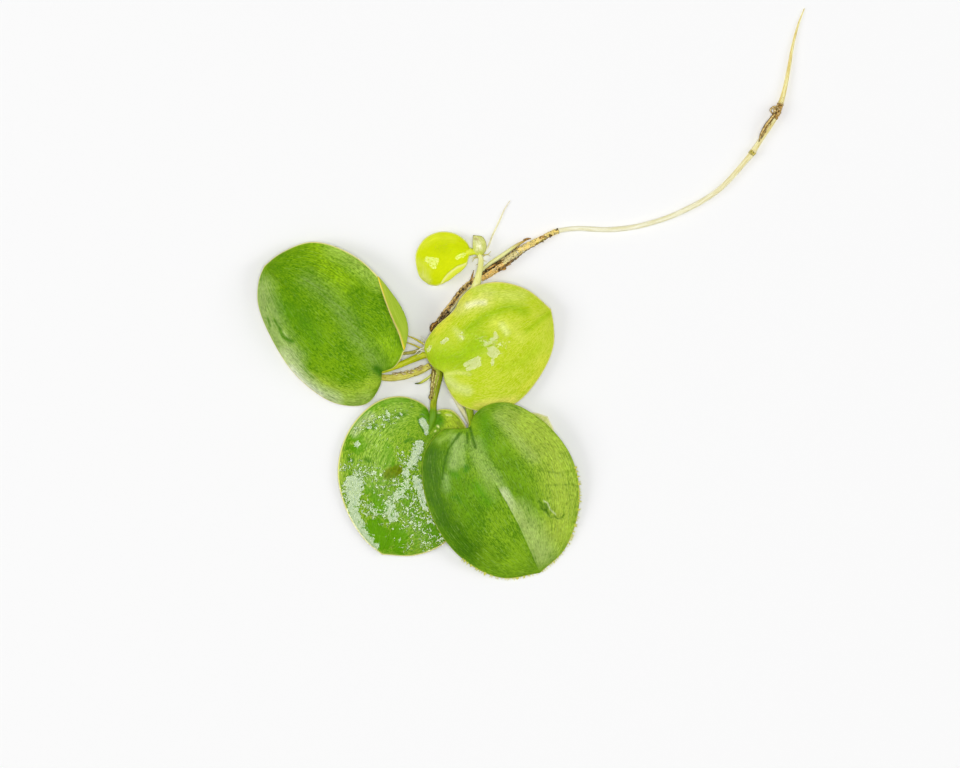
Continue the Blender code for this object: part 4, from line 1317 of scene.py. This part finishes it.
# Each route starts inside the crown or what carries it, and a leaf stalk's ends in its blade's notch.
STEMS = {
    "stalk_left": Stem(
        [(-18.3, -11.2, 1.7, 0.60), (-19.3, -11.2, 1.9, 0.62), (-21.2, -11.9, 2.1, 0.60),
         (-24.2, -13.2, 2.6, 0.52), (-26.2, -13.9, 3.3, 0.45), (-27.0, -14.2, 4.1, 0.36)],
        seed=3,
        **GREEN,
    ),
    "stalk_upper_right": Stem(
        [(-15.6, -10.6, 1.9, 0.50), (-14.7, -10.4, 2.5, 0.50), (-14.2, -12.0, 3.3, 0.52),
         (-15.0, -13.7, 4.1, 0.42), (-15.7, -14.3, 4.8, 0.30)],
        seed=4,
        **GREEN,
    ),
    "stalk_lower_left": Stem(
        [(-16.8, -12.9, 1.5, 0.95), (-16.8, -14.2, 1.5, 0.95), (-17.1, -16.6, 1.4, 0.85),
         (-17.5, -19.4, 1.5, 0.60), (-17.6, -21.0, 2.2, 0.60), (-17.7, -22.4, 2.5, 0.62),
         (-18.0, -24.0, 2.4, 0.40), (-18.5, -25.5, 2.2, 0.20)],
        tip_colour=(106, 156, 6),
        tip_span=(0.60, 0.68),
        seed=5,
        ribs=11,
        rib_depth=0.08,
        **DARK_GREEN | dict(base=(160, 176, 20)),
    ),
    "stalk_lower_right": Stem(
        [(-15.6, -12.6, 1.4, 0.60), (-14.9, -13.2, 1.4, 0.60), (-13.6, -16.4, 1.6, 0.65),
         (-11.5, -19.8, 2.1, 0.68), (-10.8, -22.3, 2.8, 0.60), (-10.7, -23.6, 3.7, 0.48),
         (-11.0, -24.2, 4.5, 0.34)],
        seed=6,
        **DARK_GREEN,
    ),
    "stalk_young": Stem(
        [(-15.8, -13.2, 0.9, 0.40), (-15.2, -15.6, 0.7, 0.42), (-14.0, -18.2, 0.65, 0.48),
         (-12.2, -21.3, 0.55, 0.48), (-10.4, -24.6, 0.5, 0.45), (-9.0, -28.2, 0.5, 0.42),
         (-8.1, -30.6, 0.4, 0.26)],
        seed=7,
        **CREAM | dict(slot="pale_tissue"),
    ),
    "old_stalk": Stem(
        [(-18.2, -13.0, 1.0, 0.50), (-19.1, -13.6, 0.9, 0.52), (-21.6, -14.6, 0.85, 0.62),
         (-24.6, -15.2, 0.8, 0.60), (-27.4, -15.1, 0.7, 0.50), (-29.2, -14.4, 0.6, 0.32)],
        seed=8,
        spots=0.55,
        ribs=7,
        rib_depth=0.09,
        lumps=0.12,
        roughness=0.6,
        **OLD,
    ),
    "thin_stalk": Stem(
        [(-18.4, -9.9, 1.2, 0.28), (-19.3, -9.9, 1.0, 0.28), (-21.0, -10.6, 0.9, 0.30),
         (-24.0, -11.0, 0.7, 0.24)],
        seed=9,
        spots=0.4,
        **OLD | dict(base=(190, 182, 66), dark=(134, 122, 30)),
    ),
    "sprout": Stem(
        [(-17.6, -14.3, 0.8, 0.20), (-18.2, -15.0, 0.7, 0.22), (-19.1, -15.7, 0.7, 0.25),
         (-20.0, -16.2, 0.6, 0.20), (-20.9, -16.3, 0.5, 0.08)],
        seed=10,
        tip_colour=(60, 85, 15),
        **PALE | dict(base=(206, 216, 70)),
    ),
    "runner": Stem(
        [(-15.6, -10.4, 1.5, 0.70), (-14.6, -9.0, 1.5, 0.70), (-12.4, -4.6, 1.9, 0.85),
         (-10.2, 0.4, 2.3, 0.80), (-9.4, 3.3, 2.5, 0.55), (-9.0, 6.0, 1.4, 0.46),
         (-9.2, 6.7, 1.3, 0.42), (-9.5, 7.3, 1.2, 0.28)],
        seed=12,
        rib_depth=0.05,
        **PALE,
    ),
    "plantlet_neck": Stem(
        [(-12.4, 7.3, 0.95, 0.85), (-11.2, 7.4, 1.05, 0.80), (-10.3, 7.35, 1.25, 0.50),
         (-9.5, 7.2, 1.30, 0.30)],
        base=(222, 232, 40),
        light=(236, 242, 100),
        dark=(196, 210, 10),
        slot="leaf_bright",
        seed=18,
    ),
    "plantlet_root": Stem(
        [(-8.9, 6.9, 0.9, 0.17), (-7.8, 8.2, 0.5, 0.15), (-7.0, 10.2, 0.2, 0.15),
         (-5.6, 13.2, 0.15, 0.14), (-4.8, 15.0, 0.15, 0.12), (-3.8, 16.6, 0.12, 0.07)],
        seed=13,
        tip_colour=(236, 228, 196),
        **CREAM,
    ),
    "root_strand": Stem(
        [(-8.9, 4.0, 1.0, 0.30), (-7.6, 5.1, 0.95, 0.36), (-5.0, 6.9, 0.9, 0.36),
         (-2.7, 8.5, 0.8, 0.30), (-0.8, 9.6, 0.6, 0.12)],
        seed=14,
        tip_colour=(190, 160, 70),
        **PALE | dict(base=(232, 232, 156)),
    ),
    "rootlet_upper": Stem(
        [(-18.4, -9.9, 1.4, 0.18), (-19.2, -9.3, 1.3, 0.18), (-20.6, -8.4, 1.1, 0.17),
         (-22.2, -7.7, 0.7, 0.08)],
        seed=15,
        **ROOTLET,
    ),
    "rootlet_lower": Stem(
        [(-18.6, -10.4, 1.9, 0.15), (-19.9, -9.9, 1.9, 0.15), (-21.0, -9.4, 1.5, 0.15),
         (-22.4, -8.9, 1.1, 0.07)],
        seed=16,
        **ROOTLET,
    ),
}


MAIN_ROOT_ROUTE = [
    (-16.7, -9.8, 1.0, 0.55), (-16.8, -8.8, 0.8, 0.60), (-17.1, -6.8, 0.8, 0.60), (-15.9, -4.5, 0.75, 0.62),
    (-14.1, -2.1, 0.75, 0.60), (-12.1, 0.5, 0.75, 0.60), (-10.2, 2.1, 0.70, 0.60), (-8.3, 3.2, 0.75, 0.70),
    (-6.0, 4.7, 0.85, 0.80), (-3.4, 6.5, 0.80, 0.72), (-1.2, 8.1, 0.70, 0.58), (1.4, 9.5, 0.60, 0.44),
    (4.7, 11.1, 0.46, 0.42), (8.1, 11.6, 0.46, 0.43), (14.0, 11.4, 0.48, 0.45), (19.6, 12.1, 0.48, 0.46),
    (26.6, 14.4, 0.50, 0.47), (33.7, 18.5, 0.50, 0.47), (38.5, 23.6, 0.50, 0.46), (39.8, 25.2, 0.58, 0.54),
    (41.1, 27.2, 0.50, 0.43), (43.0, 30.1, 0.60, 0.48), (44.4, 32.8, 0.68, 0.56), (45.3, 35.3, 0.50, 0.42),
    (46.3, 39.9, 0.40, 0.33), (47.2, 45.0, 0.28, 0.24), (48.2, 48.6, 0.20, 0.16), (49.2, 51.2, 0.12, 0.08),
]
ROOT_STEP = 0.11
ROOT_SIDES = 36


@dataclass
class Bark:
    """A stretch of old bark on the root, between two x, y places. It faces a turn in degrees, with 0 at
    the left of the way along the root and 90 at the top, and spreads that far each way."""

    start: tuple
    end: tuple
    facing: float
    spread: float
    cover: float
    colour: tuple
    burnt: float


BROWN, GOLD, OLIVE, DARK = (190, 146, 62), (250, 222, 124), (186, 170, 66), (104, 76, 34)
BARK = [
    Bark((-17.8, -7.6), (-10.0, 2.8), 30, 82, 0.95, (246, 210, 122), 0.24),
    Bark((-17.4, -7.0), (-10.6, 2.2), 76, 22, 0.85, (196, 154, 76), 0.56),
    Bark((-17.6, -7.2), (-14.8, -3.4), 110, 60, 0.9, (150, 116, 58), 0.56),
    Bark((-9.0, 2.6), (-4.2, 6.2), 120, 150, 1.1, (240, 194, 104), 0.15),
    Bark((-8.8, 3.2), (-2.6, 7.5), 22, 52, 1.2, (134, 108, 50), 0.64),
    Bark((-4.8, 5.0), (-2.4, 7.2), 80, 55, 0.95, (216, 202, 134), 0.14),
    Bark((-6.2, 4.4), (-3.4, 6.4), 150, 36, 1.0, (170, 130, 70), 0.44),
    Bark((-3.8, 5.8), (1.4, 9.4), 176, 30, 1.1, DARK, 0.46),
    Bark((-2.4, 7.2), (0.8, 9.2), 60, 90, 0.85, GOLD, 0.08),
    Bark((0.4, 8.9), (4.9, 11.2), 100, 160, 1.0, GOLD, 0.10),
    Bark((0.8, 9.1), (2.4, 10.0), 165, 50, 0.9, OLIVE, 0.34),
    Bark((1.6, 9.5), (2.6, 10.0), 60, 40, 0.8, BROWN, 0.28),
    Bark((3.2, 10.4), (3.6, 10.6), 150, 50, 1.1, DARK, 0.34),
    Bark((4.5, 11.0), (4.9, 11.3), 30, 40, 1.1, DARK, 0.40),
    Bark((39.6, 24.95), (40.0, 25.45), 90, 180, 1.1, (206, 190, 84), 0.20),
    Bark((41.4, 27.8), (44.0, 32.0), 20, 60, 0.7, (206, 172, 92), 0.22),
    Bark((43.6, 31.6), (45.0, 34.0), 110, 170, 0.9, BROWN, 0.32),
]
BARK_THICKNESS = 0.07
BARK_EDGE = 0.4
BARK_END_FADE = 0.4
BARK_SIDE_FADE = 30
GOLD_START, GOLD_END = (20.0, 12.2), (46.0, 37.0)


def nearest_row(places, spot):
    """The row of the place that is nearest to an x, y spot."""
    return int(np.argmin(np.linalg.norm(places[:, :2] - spot, axis=1)))


def bark_cover(places, along, turn, length):
    """How much bark lies at each point of the root, how burnt it is, and its colour. A later stretch lies
    over those before it."""
    bark = np.zeros(len(turn))
    burnt = np.zeros(len(turn))
    colour = np.zeros((len(turn), 3))
    for stretch in BARK:
        first, last = (along[nearest_row(places, spot)] for spot in (stretch.start, stretch.end))
        window = ease((length - first) / BARK_END_FADE + 0.5) * ease((last - length) / BARK_END_FADE + 0.5)
        away = np.abs((np.degrees(turn) - stretch.facing + 180) % 360 - 180)
        share = stretch.cover * window * ease((stretch.spread - away) / BARK_SIDE_FADE + 0.5)
        over = ease((share - 0.25) / 0.3)
        burnt += over * (stretch.burnt - burnt)
        colour += over[:, None] * (linear(stretch.colour) - colour)
        bark = np.maximum(bark, share)
    return bark, burnt, colour


def main_root():
    """The long root, with old bark on it as raised, broken patches."""
    places, _, _, _, along = stem_rows(MAIN_ROOT_ROUTE, ROOT_STEP)
    found = {}

    def relief(turn, length, radius, rounds):
        bark, burnt, colour = bark_cover(places, along, turn, length)
        bark = bark + 0.6 * rough_noise(rounds * (2.6, 2.6, 1.6), 81) * (bark > 0.02)
        found.update(bark=bark, burnt=burnt, bark_colour=colour)
        skin = BARK_THICKNESS * ease((bark - BARK_EDGE) / 0.15)
        crumpled = 1 + 1.2 * rough_noise(rounds * (4.4, 4.4, 3.0), 91)
        fibres = 0.035 * radius * rough_noise(rounds * (3.0, 3.0, 0.5), 95)
        return skin * crumpled + fibres

    points, faces, rows = tube_mesh(MAIN_ROOT_ROUTE, relief, ROOT_SIDES, ROOT_STEP)
    fields = {key: np.concatenate([values, np.zeros_like(values[:2])]) for key, values in found.items()}
    fields["stem"] = rows
    gold = [along[nearest_row(places, spot)] for spot in (GOLD_START, GOLD_END)]
    add_piece("main_root_skin", points, faces, root_material(gold), "main_root", "root", fields)


def root_material(gold):
    """Cream, fibrous root that turns golden towards the tip, with golden to black bark where it is."""
    shader = Shader("main_root", 0.5, specular=0.2)
    rounds = shader.attribute("stem", "Vector")
    along = shader.axes(rounds)["Z"]
    fibres = shader.noise(rounds, (4.0, 4.0, 0.4), detail=4.0, roughness=0.6)
    specks = shader.noise(rounds, (3.4, 3.4, 2.6), detail=5.0, roughness=0.75)
    flecks = shader.noise(rounds, (6.0, 6.0, 3.6), detail=4.0, roughness=0.75)
    tone = shader.total(0.5, (fibres, 1.8), (specks, 0.5))
    colour = shader.mix(shader.between(tone, 0.1, 0.9), (234, 228, 178), (252, 250, 226))
    golden = shader.mix(shader.between(tone, 0.2, 0.8), (222, 196, 100), (252, 246, 180))
    colour = shader.mix(shader.between(along, *gold), colour, golden)

    edge = shader.total(shader.attribute("bark"), (flecks, 0.7))
    shade = shader.total(1.0, (fibres, 2.2), (specks, 1.6))
    shade = shader.math("MAXIMUM", shade, 0.35)
    bark = shader.scaled(shader.attribute("bark_colour", "Vector"), shade)
    bark = shader.mix(shader.between(flecks, 0.53, 0.59), bark, (248, 232, 176))
    burnt = shader.total(shader.attribute("burnt"), (specks, 4.8), (flecks, 2.0))
    outline = shader.math("SUBTRACT", shader.between(edge, 0.40, 0.44), shader.between(edge, 0.50, 0.60))
    burnt = shader.math("MAXIMUM", shader.between(burnt, 0.48, 0.60), shader.times(outline, 0.7))
    bark = shader.mix(burnt, bark, (36, 28, 14))
    colour = shader.mix(shader.between(edge, 0.40, 0.46), colour, bark)
    shader.set("Base Color", colour)
    shader.set("Roughness", shader.total(0.5, (specks, 0.5)))
    shader.bump(shader.total(0.0, (fibres, 0.8), (flecks, 0.9), (specks, 0.6)), 0.08, 0.9)
    return shader.material


# Lumps, flakes and hairs.


def lump_mesh(middle, half, lumpiness, seed, rows=36, sides=48):
    """A closed ball with an uneven skin."""
    polar, turn = np.meshgrid(
        np.linspace(0.0, math.pi, rows + 1)[1:-1],
        np.linspace(0.0, 2 * math.pi, sides, endpoint=False),
        indexing="ij",
    )
    rays = np.stack([np.sin(polar) * np.cos(turn), np.sin(polar) * np.sin(turn), np.cos(polar)], axis=-1)
    rays = np.vstack([rays.reshape(-1, 3), (0.0, 0.0, 1.0), (0.0, 0.0, -1.0)])
    grown = 1 + lumpiness * rough_noise(rays * 2.3 + 7.0, seed, octaves=4)
    points = np.array(middle) + np.array(half) * rays * grown[:, None]
    faces = [(start, *reversed(others)) for start, *others in tube_faces(rows - 2, sides)]
    return on_surface(points), faces


def scrap_material(name, dark, base, light, outlined=0.0):
    """Patches from dark to light, and a dark outline where a piece has an edge field."""
    shader = Shader(name, 0.6, specular=0.25)
    place = shader.place()
    patches = shader.noise(place, 2.2, detail=6.0, roughness=0.75)
    grain = shader.noise(place, 7.0, detail=3.0)
    tone = shader.total(0.5, (patches, 3.4), (grain, 1.4))
    if outlined:
        edge = shader.total(shader.attribute("edge"), (patches, 1.2))
        tone = shader.math("SUBTRACT", tone, shader.between(edge, 0.55, 0.90, 0.0, outlined))
    shader.set("Base Color", shader.shades(tone, dark, base, light))
    shader.set("Roughness", shader.total(0.6, (patches, 0.5)))
    shader.bump(shader.total(0.0, (patches, 1.0), (grain, 0.6)), 0.12, 0.8)
    return shader.material


# The dark, base and light display colours of scraps and hairs.
BARK_COLOURS = (48, 34, 16), (184, 134, 56), (240, 206, 126)
TIP_COLOURS = (74, 50, 20), (220, 186, 104), (254, 244, 194)
PAPER_COLOURS = (150, 112, 52), (230, 218, 154), (250, 248, 226)
SHEATH_COLOURS = (96, 66, 22), (204, 192, 98), (240, 234, 170)
CROWN_COLOURS = (70, 50, 20), (125, 120, 40), (185, 180, 90)

CROWN_MIDDLE = (-16.9, -11.4, 1.35)
CROWN_HALF = (1.75, 1.85, 1.35)


def crown():
    points, faces = lump_mesh(CROWN_MIDDLE, CROWN_HALF, 0.13, 31)
    add_piece("crown_skin", points, faces, scrap_material("crown", *CROWN_COLOURS), "crown", "crown")


def lumps():
    """The knob and the curled end of the old bark, and the knot and the beads near the root's tip."""
    for name, middle, half, colours in (
        ("bark_knob", (-5.1, 4.5, 0.80), (0.60, 0.40, 0.42), BARK_COLOURS),
        ("bark_knob_small", (-4.2, 5.3, 0.95), (0.45, 0.30, 0.32), BARK_COLOURS),
        ("bark_end", (-17.9, -6.4, 0.9), (0.36, 0.60, 0.40), BARK_COLOURS),
        ("tip_knot", (44.2, 32.9, 0.80), (0.62, 0.50, 0.48), TIP_COLOURS),
        ("tip_bead", (45.0, 34.2, 0.65), (0.36, 0.44, 0.42), TIP_COLOURS),
        ("tip_bead_small", (45.2, 35.0, 0.60), (0.36, 0.34, 0.38), TIP_COLOURS),
    ):
        points, faces = lump_mesh(middle, half, 0.35, len(name), rows=24, sides=32)
        add_piece(name, points, faces, scrap_material(name, *colours), None, "root")


@dataclass
class Flake:
    """A thin torn scrap along a path of x, y, z, half-width points, crumpled and curled."""

    route: list
    curl: float = 0.4


FLAKE_ROWS, FLAKE_COLUMNS = 22, 9
FLAKE_STEP = 0.02
FLAKE_THICKNESS = 0.05
FLAKE_TEAR = 0.35
FLAKE_CRUMPLE = 0.12
FLAKE_OUTLINE = 0.7


def sheet_mesh(top, thickness):
    """A closed thin sheet round a (row, column, xyz) grid, and how near its edge each point is."""
    rows, columns = top.shape[:2]
    lift = thickness / 2 * unit(np.cross(np.gradient(top, axis=0), np.gradient(top, axis=1)))
    points = np.vstack([(top + lift).reshape(-1, 3), (top - lift).reshape(-1, 3)])
    under = rows * columns
    grid = np.arange(under).reshape(rows, columns)
    faces = []
    for near, far in zip(grid.tolist(), grid[1:].tolist()):
        for column in range(columns - 1):
            loop = (near[column], far[column], far[column + 1], near[column + 1])
            faces.append(loop)
            faces.append(tuple(corner + under for corner in reversed(loop)))
    rim = np.concatenate([grid[0, :-1], grid[:-1, -1], grid[-1, :0:-1], grid[:0:-1, 0]]).tolist()
    for first, second in zip(rim, rim[1:] + rim[:1]):
        faces.append((first, second, second + under, first + under))
    ends = np.abs(np.linspace(-1.0, 1.0, rows))[:, None] ** 3
    sides = np.abs(np.linspace(-1.0, 1.0, columns))
    edge = np.tile(np.maximum(ends, sides).ravel(), 2)
    return on_surface(points), faces, edge


def flake_mesh(flake, seed):
    places, halves, beside, above, _ = stem_rows(flake.route, FLAKE_STEP)
    pick = np.linspace(0, len(places) - 1, FLAKE_ROWS).astype(int)
    across = np.linspace(-1.0, 1.0, FLAKE_COLUMNS)[:, None]
    torn = 1 + FLAKE_TEAR * noise(np.stack([pick * 0.13, np.full(FLAKE_ROWS, 0.5)], axis=1), seed)
    half = (halves[pick] * torn)[:, None, None]
    bend = flake.curl * across**2
    top = places[pick][:, None] + half * (across * beside[pick][:, None] + bend * above[pick][:, None])
    top[:, :, 2] += FLAKE_CRUMPLE * noise(top.reshape(-1, 3) * 2.4, seed + 1).reshape(top.shape[:2])
    return sheet_mesh(top, FLAKE_THICKNESS)


def add_flakes(name, flakes, colours, slot):
    meshes = [flake_mesh(flake, seed) for seed, flake in enumerate(flakes, start=1)]
    points, faces, edge = joined(meshes)
    material = scrap_material(name, *colours, outlined=FLAKE_OUTLINE)
    add_piece(name, points, faces, material, None, slot, {"edge": edge})


LOOSE_SIZES = (0.5, 1.3)
LOOSE_SWING = 0.45
LOOSE_LIFT = (0.04, 0.28)
LOOSE_SEAT = 0.96
LOOSE_BELLY = 0.06


def loose_flakes(random, route, start, end, turns, count, length, half_width):
    """Flakes at random places on a stem between two x, y places, with their ends lifted off it. They sit
    at turns round it in degrees, as bark does."""
    places, radii, beside, above, _ = stem_rows(route)
    ahead = unit(np.gradient(places, axis=0))
    rows = sorted(nearest_row(places, spot) for spot in (start, end))
    flakes = []
    for _ in range(count):
        row = random.integers(*rows)
        turn = math.radians(random.uniform(*turns))
        spoke = math.cos(turn) * beside[row] + math.sin(turn) * above[row]
        size = random.uniform(*LOOSE_SIZES)
        way = size * length * (ahead[row] + random.uniform(-LOOSE_SWING, LOOSE_SWING) * beside[row])
        half = size * half_width
        foot = places[row] + LOOSE_SEAT * radii[row] * spoke - way / 2
        middle = foot + way / 2 + LOOSE_BELLY * spoke
        tip = foot + way + random.uniform(*LOOSE_LIFT) * spoke
        flakes.append(Flake([(*foot, 0.4 * half), (*middle, half), (*tip, 0.15 * half)]))
    return flakes


def flakes():
    """Torn slivers of bark on the root, papery skin on the old stalk, and the torn sheath of the lower
    left stalk."""
    random = np.random.default_rng(3)
    bark = [
        Flake([(-10.9, 2.0, 1.1, 0.18), (-10.6, 3.0, 1.2, 0.13), (-10.3, 4.1, 1.2, 0.05)]),
        Flake([(-8.2, 4.1, 1.55, 0.16), (-6.2, 5.2, 1.6, 0.24), (-4.2, 6.0, 1.5, 0.10)]),
        Flake([(-1.4, 9.5, 0.95, 0.10), (-0.8, 9.7, 1.0, 0.18), (0.0, 9.8, 0.8, 0.06)]),
        Flake([(-17.9, -6.9, 1.2, 0.10), (-17.7, -5.8, 1.4, 0.30), (-16.8, -5.2, 1.4, 0.16)], 0.8),
    ]
    for stretch in (
        ((-17.0, -6.8), (-10.8, 1.8), (-10, 80), 30, 0.8, 0.08),
        ((-8.4, 3.2), (-1.8, 7.6), (0, 60), 22, 1.4, 0.08),
        ((-6.0, 4.7), (4.0, 10.8), (130, 200), 18, 0.8, 0.08),
    ):
        bark += loose_flakes(random, MAIN_ROOT_ROUTE, *stretch)
    add_flakes("bark_slivers", bark, BARK_COLOURS, "root")

    tip = [
        Flake([(41.0, 27.2, 0.95, 0.06), (41.4, 28.6, 1.1, 0.20), (42.3, 30.2, 1.25, 0.28),
               (43.4, 31.6, 1.35, 0.27), (44.2, 32.5, 1.35, 0.14)], 0.6),
        Flake([(43.5, 32.2, 1.2, 0.10), (43.1, 32.9, 1.25, 0.16), (43.7, 33.5, 1.3, 0.16),
               (44.7, 33.3, 1.25, 0.08)]),
    ]
    tip += loose_flakes(random, MAIN_ROOT_ROUTE, (42.2, 29.4), (44.8, 33.6), (60, 200), 5, 0.8, 0.12)
    add_flakes("tip_flakes", tip, TIP_COLOURS, "root")

    old_stalk, sheathed = STEMS["old_stalk"].route, STEMS["stalk_lower_left"].route
    paper = loose_flakes(random, old_stalk, (-18.6, -13.4), (-24.6, -15.2), (95, 200), 18, 1.2, 0.19)
    add_flakes("papery_scraps", paper, PAPER_COLOURS, "old_stalk")

    sheath = loose_flakes(random, sheathed, (-16.8, -13.4), (-17.4, -18.8), (130, 200), 16, 1.3, 0.13)
    for top_x, low_x, half in ((-17.4, -18.0, 0.20), (-16.9, -17.8, 0.16), (-16.3, -17.5, 0.12)):
        middle_x = 0.5 * (top_x + low_x) - 0.1
        strip = [(top_x, -13.8, 2.45, half), (middle_x, -16.4, 2.25, half), (low_x, -19.0, 2.05, 0.06)]
        sheath.append(Flake(strip, -0.3))
    torn_end = [(-17.9, -18.0, 1.7, 0.10), (-18.2, -18.8, 1.8, 0.26), (-17.6, -19.3, 1.9, 0.12)]
    sheath.append(Flake(torn_end, 0.8))
    add_flakes("torn_sheath", sheath, SHEATH_COLOURS, "stalk")


HAIR_SIDES = 5
HAIR_STEP = 0.12
PLANTLET_HAIR_COLOURS = (206, 196, 84), (232, 226, 140), (160, 144, 52)
CROWN_HAIR_COLOURS = (248, 246, 226), (252, 252, 244), (222, 214, 170)
FRINGE_COLOURS = (220, 222, 96), (240, 240, 150), (186, 186, 60)


@dataclass
class Hair:
    """A fine hair from one x, y, z place to another, bowed sideways by a share of its length."""

    start: tuple
    end: tuple
    radius: float
    bow: float = 0.1


def hair_route(hair):
    start, end = np.array(hair.start), np.array(hair.end)
    aside = np.cross(end - start, (0.0, 0.0, 1.0))
    middle = (start + end) / 2 + hair.bow * aside
    return [(*start, hair.radius), (*middle, 0.8 * hair.radius), (*end, 0.3 * hair.radius)]


def add_hairs(name, hairs, colours, slot):
    meshes = [tube_mesh(hair_route(hair), lambda *_: 0.0, HAIR_SIDES, HAIR_STEP) for hair in hairs]
    points, faces, rows = joined(meshes)
    material = stem_material(name, Stem([], *colours), 1.0)
    add_piece(name, points, faces, material, None, slot, {"stem": rows})


def hairs():
    """The few root hairs at the plantlet, the crown and the old root."""
    plantlet = [
        Hair((-8.7, 6.9, 1.4), (-7.2, 7.5, 1.5), 0.10, 0.20),
        Hair((-8.6, 6.6, 1.4), (-7.3, 6.6, 1.2), 0.09, -0.25),
        Hair((-8.7, 6.3, 1.3), (-7.9, 5.7, 0.9), 0.08, 0.25),
        Hair((-9.3, 6.3, 1.3), (-10.6, 5.6, 0.9), 0.10, 0.25),
        Hair((-9.3, 6.1, 1.3), (-10.0, 5.0, 0.8), 0.09, -0.25),
        Hair((-9.5, 6.5, 1.4), (-10.7, 6.2, 1.1), 0.08, 0.10),
        Hair((-9.1, 6.0, 1.5), (-8.9, 4.6, 2.2), 0.09, 0.15),
    ]
    add_hairs("plantlet_hairs", plantlet, PLANTLET_HAIR_COLOURS, "root")
    crown_hairs = [
        Hair((-18.8, -9.7, 2.6), (-20.9, -11.0, 2.7), 0.17, 0.10),
        Hair((-19.2, -9.4, 2.5), (-20.5, -11.2, 2.6), 0.10, -0.15),
        Hair((-18.9, -10.6, 2.7), (-20.8, -10.4, 2.6), 0.13, 0.10),
        Hair((-19.0, -9.8, 2.2), (-19.9, -7.8, 1.8), 0.11, 0.20),
        Hair((-18.9, -9.6, 2.2), (-19.4, -7.6, 1.9), 0.10, -0.15),
        Hair((-18.9, -9.2, 2.1), (-20.2, -8.5, 1.9), 0.08, 0.30),
        Hair((-18.6, -14.7, 1.0), (-20.4, -14.9, 0.7), 0.03, 0.20),
        Hair((-18.9, -14.9, 0.9), (-22.3, -15.9, 0.3), 0.03, -0.15),
    ]
    add_hairs("crown_hairs", crown_hairs, CROWN_HAIR_COLOURS, "root")


FRINGE = ((LEFT_HAND, 0.55, 80), (RIGHT_HAND, 0.66, 64))
FRINGE_END = 0.99
FRINGE_REACH = (0.16, 0.50)
FRINGE_ROOT = 0.3
FRINGE_RADIUS = 0.10
FRINGE_BOW = 0.3


def margin_fringe():
    """Tiny pale teeth along the outer margin of the front leaf, from its right side round the tip."""
    random = np.random.default_rng(7)
    blade = LEAF_LOWER_RIGHT
    middle = np.mean([place[:2] for place in blade.rib], axis=0)
    teeth = []
    for side, first, count in FRINGE:
        places = random.uniform(first, FRINGE_END, count)
        for x, y, z in smooth_path(margin_route(blade, side), places):
            out = unit((x, y) - middle)
            tip = (x, y) + random.uniform(*FRINGE_REACH) * out
            start = (x, y) - FRINGE_ROOT * out
            bow = random.uniform(-FRINGE_BOW, FRINGE_BOW)
            teeth.append(Hair((*start, max(z, 0.12)), (*tip, max(z - 0.1, 0.08)), FRINGE_RADIUS, bow))
    add_hairs("margin_fringe", teeth, FRINGE_COLOURS, "leaf_green")


# Floor, light and camera.

# The floor's half width, the clip range and the lights' distance are in metres.
FLOOR_HALF = 1.5
FLOOR_DROP = 0.02
FLOOR_GREY = 0.93
VIEW_WIDTH = 172.8
VIEW_MIDDLE = (-9.18, -16.38)
CAMERA_HEIGHT = 3000.0
SENSOR_WIDTH = 36.0
CLIP_RANGE = (0.1, 20.0)


def stage():
    mesh = bpy.data.meshes.new("floor")
    corners = [(x * FLOOR_HALF, y * FLOOR_HALF, 0.0) for x, y in ((-1, -1), (1, -1), (1, 1), (-1, 1))]
    mesh.from_pydata(corners, [], [(0, 1, 2, 3)])
    floor = new_object("floor", mesh)
    floor.location.z = -FLOOR_DROP * MM
    shader = Shader("floor", 0.9, specular=0.0)
    shader.set("Base Color", (FLOOR_GREY, FLOOR_GREY, FLOOR_GREY, 1.0))
    mesh.materials.append(shader.material)
    floor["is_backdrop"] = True


@dataclass
class SoftBox:
    """A square light aimed at the plant: its direction seen from there, its size in metres, and its
    brightness as a multiple of the white floor's."""

    name: str
    towards: tuple
    size: float
    brightness: float


SOFT_BOXES = [
    SoftBox("overhead_light", (0.02, -0.01, 1.0), 0.78, 14.6),
    SoftBox("left_light", (-0.85, -0.05, 0.50), 1.1, 5.2),
    SoftBox("right_light", (0.85, 0.05, 0.50), 1.1, 3.8),
]
LIGHT_DISTANCE = 2.4
WORLD_BRIGHTNESS = 0.275


def lights():
    for box in SOFT_BOXES:
        data = bpy.data.lights.new(box.name, "AREA")
        data.size = box.size
        data.energy = box.brightness * math.pi * box.size**2
        lamp = new_object(box.name, data)
        lamp.location = LIGHT_DISTANCE * unit(np.array(box.towards))
        lamp.rotation_euler = (-lamp.location).to_track_quat("-Z", "Y").to_euler()
    world = bpy.data.worlds.new("studio")
    world.use_nodes = True
    background = world.node_tree.nodes["Background"].inputs
    background["Color"].default_value = (1.0, 1.0, 1.0, 1.0)
    background["Strength"].default_value = WORLD_BRIGHTNESS
    bpy.context.scene.world = world


def camera():
    data = bpy.data.cameras.new("camera")
    data.sensor_width = SENSOR_WIDTH
    data.lens = SENSOR_WIDTH * CAMERA_HEIGHT / VIEW_WIDTH
    data.clip_start, data.clip_end = CLIP_RANGE
    eye = new_object("camera", data)
    eye.location = (MM * VIEW_MIDDLE[0], MM * VIEW_MIDDLE[1], MM * CAMERA_HEIGHT)
    bpy.context.scene.camera = eye


def write_sizes():
    boxes = {"cad": CAD_BOX, "visual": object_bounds()}
    lists = {key: [list(low), list(high)] for key, (low, high) in boxes.items()}


# Everything that the scene is made of, one kind at a time.

for blade_row in BLADES:
    add_blade(*blade_row)
for stem_name, stem_look in STEMS.items():
    add_stem(stem_name, stem_look)
main_root()
crown()
lumps()
flakes()
hairs()
margin_fringe()
stage()
lights()
camera()
bpy.context.scene.view_settings.view_transform = "Standard"
write_sizes()
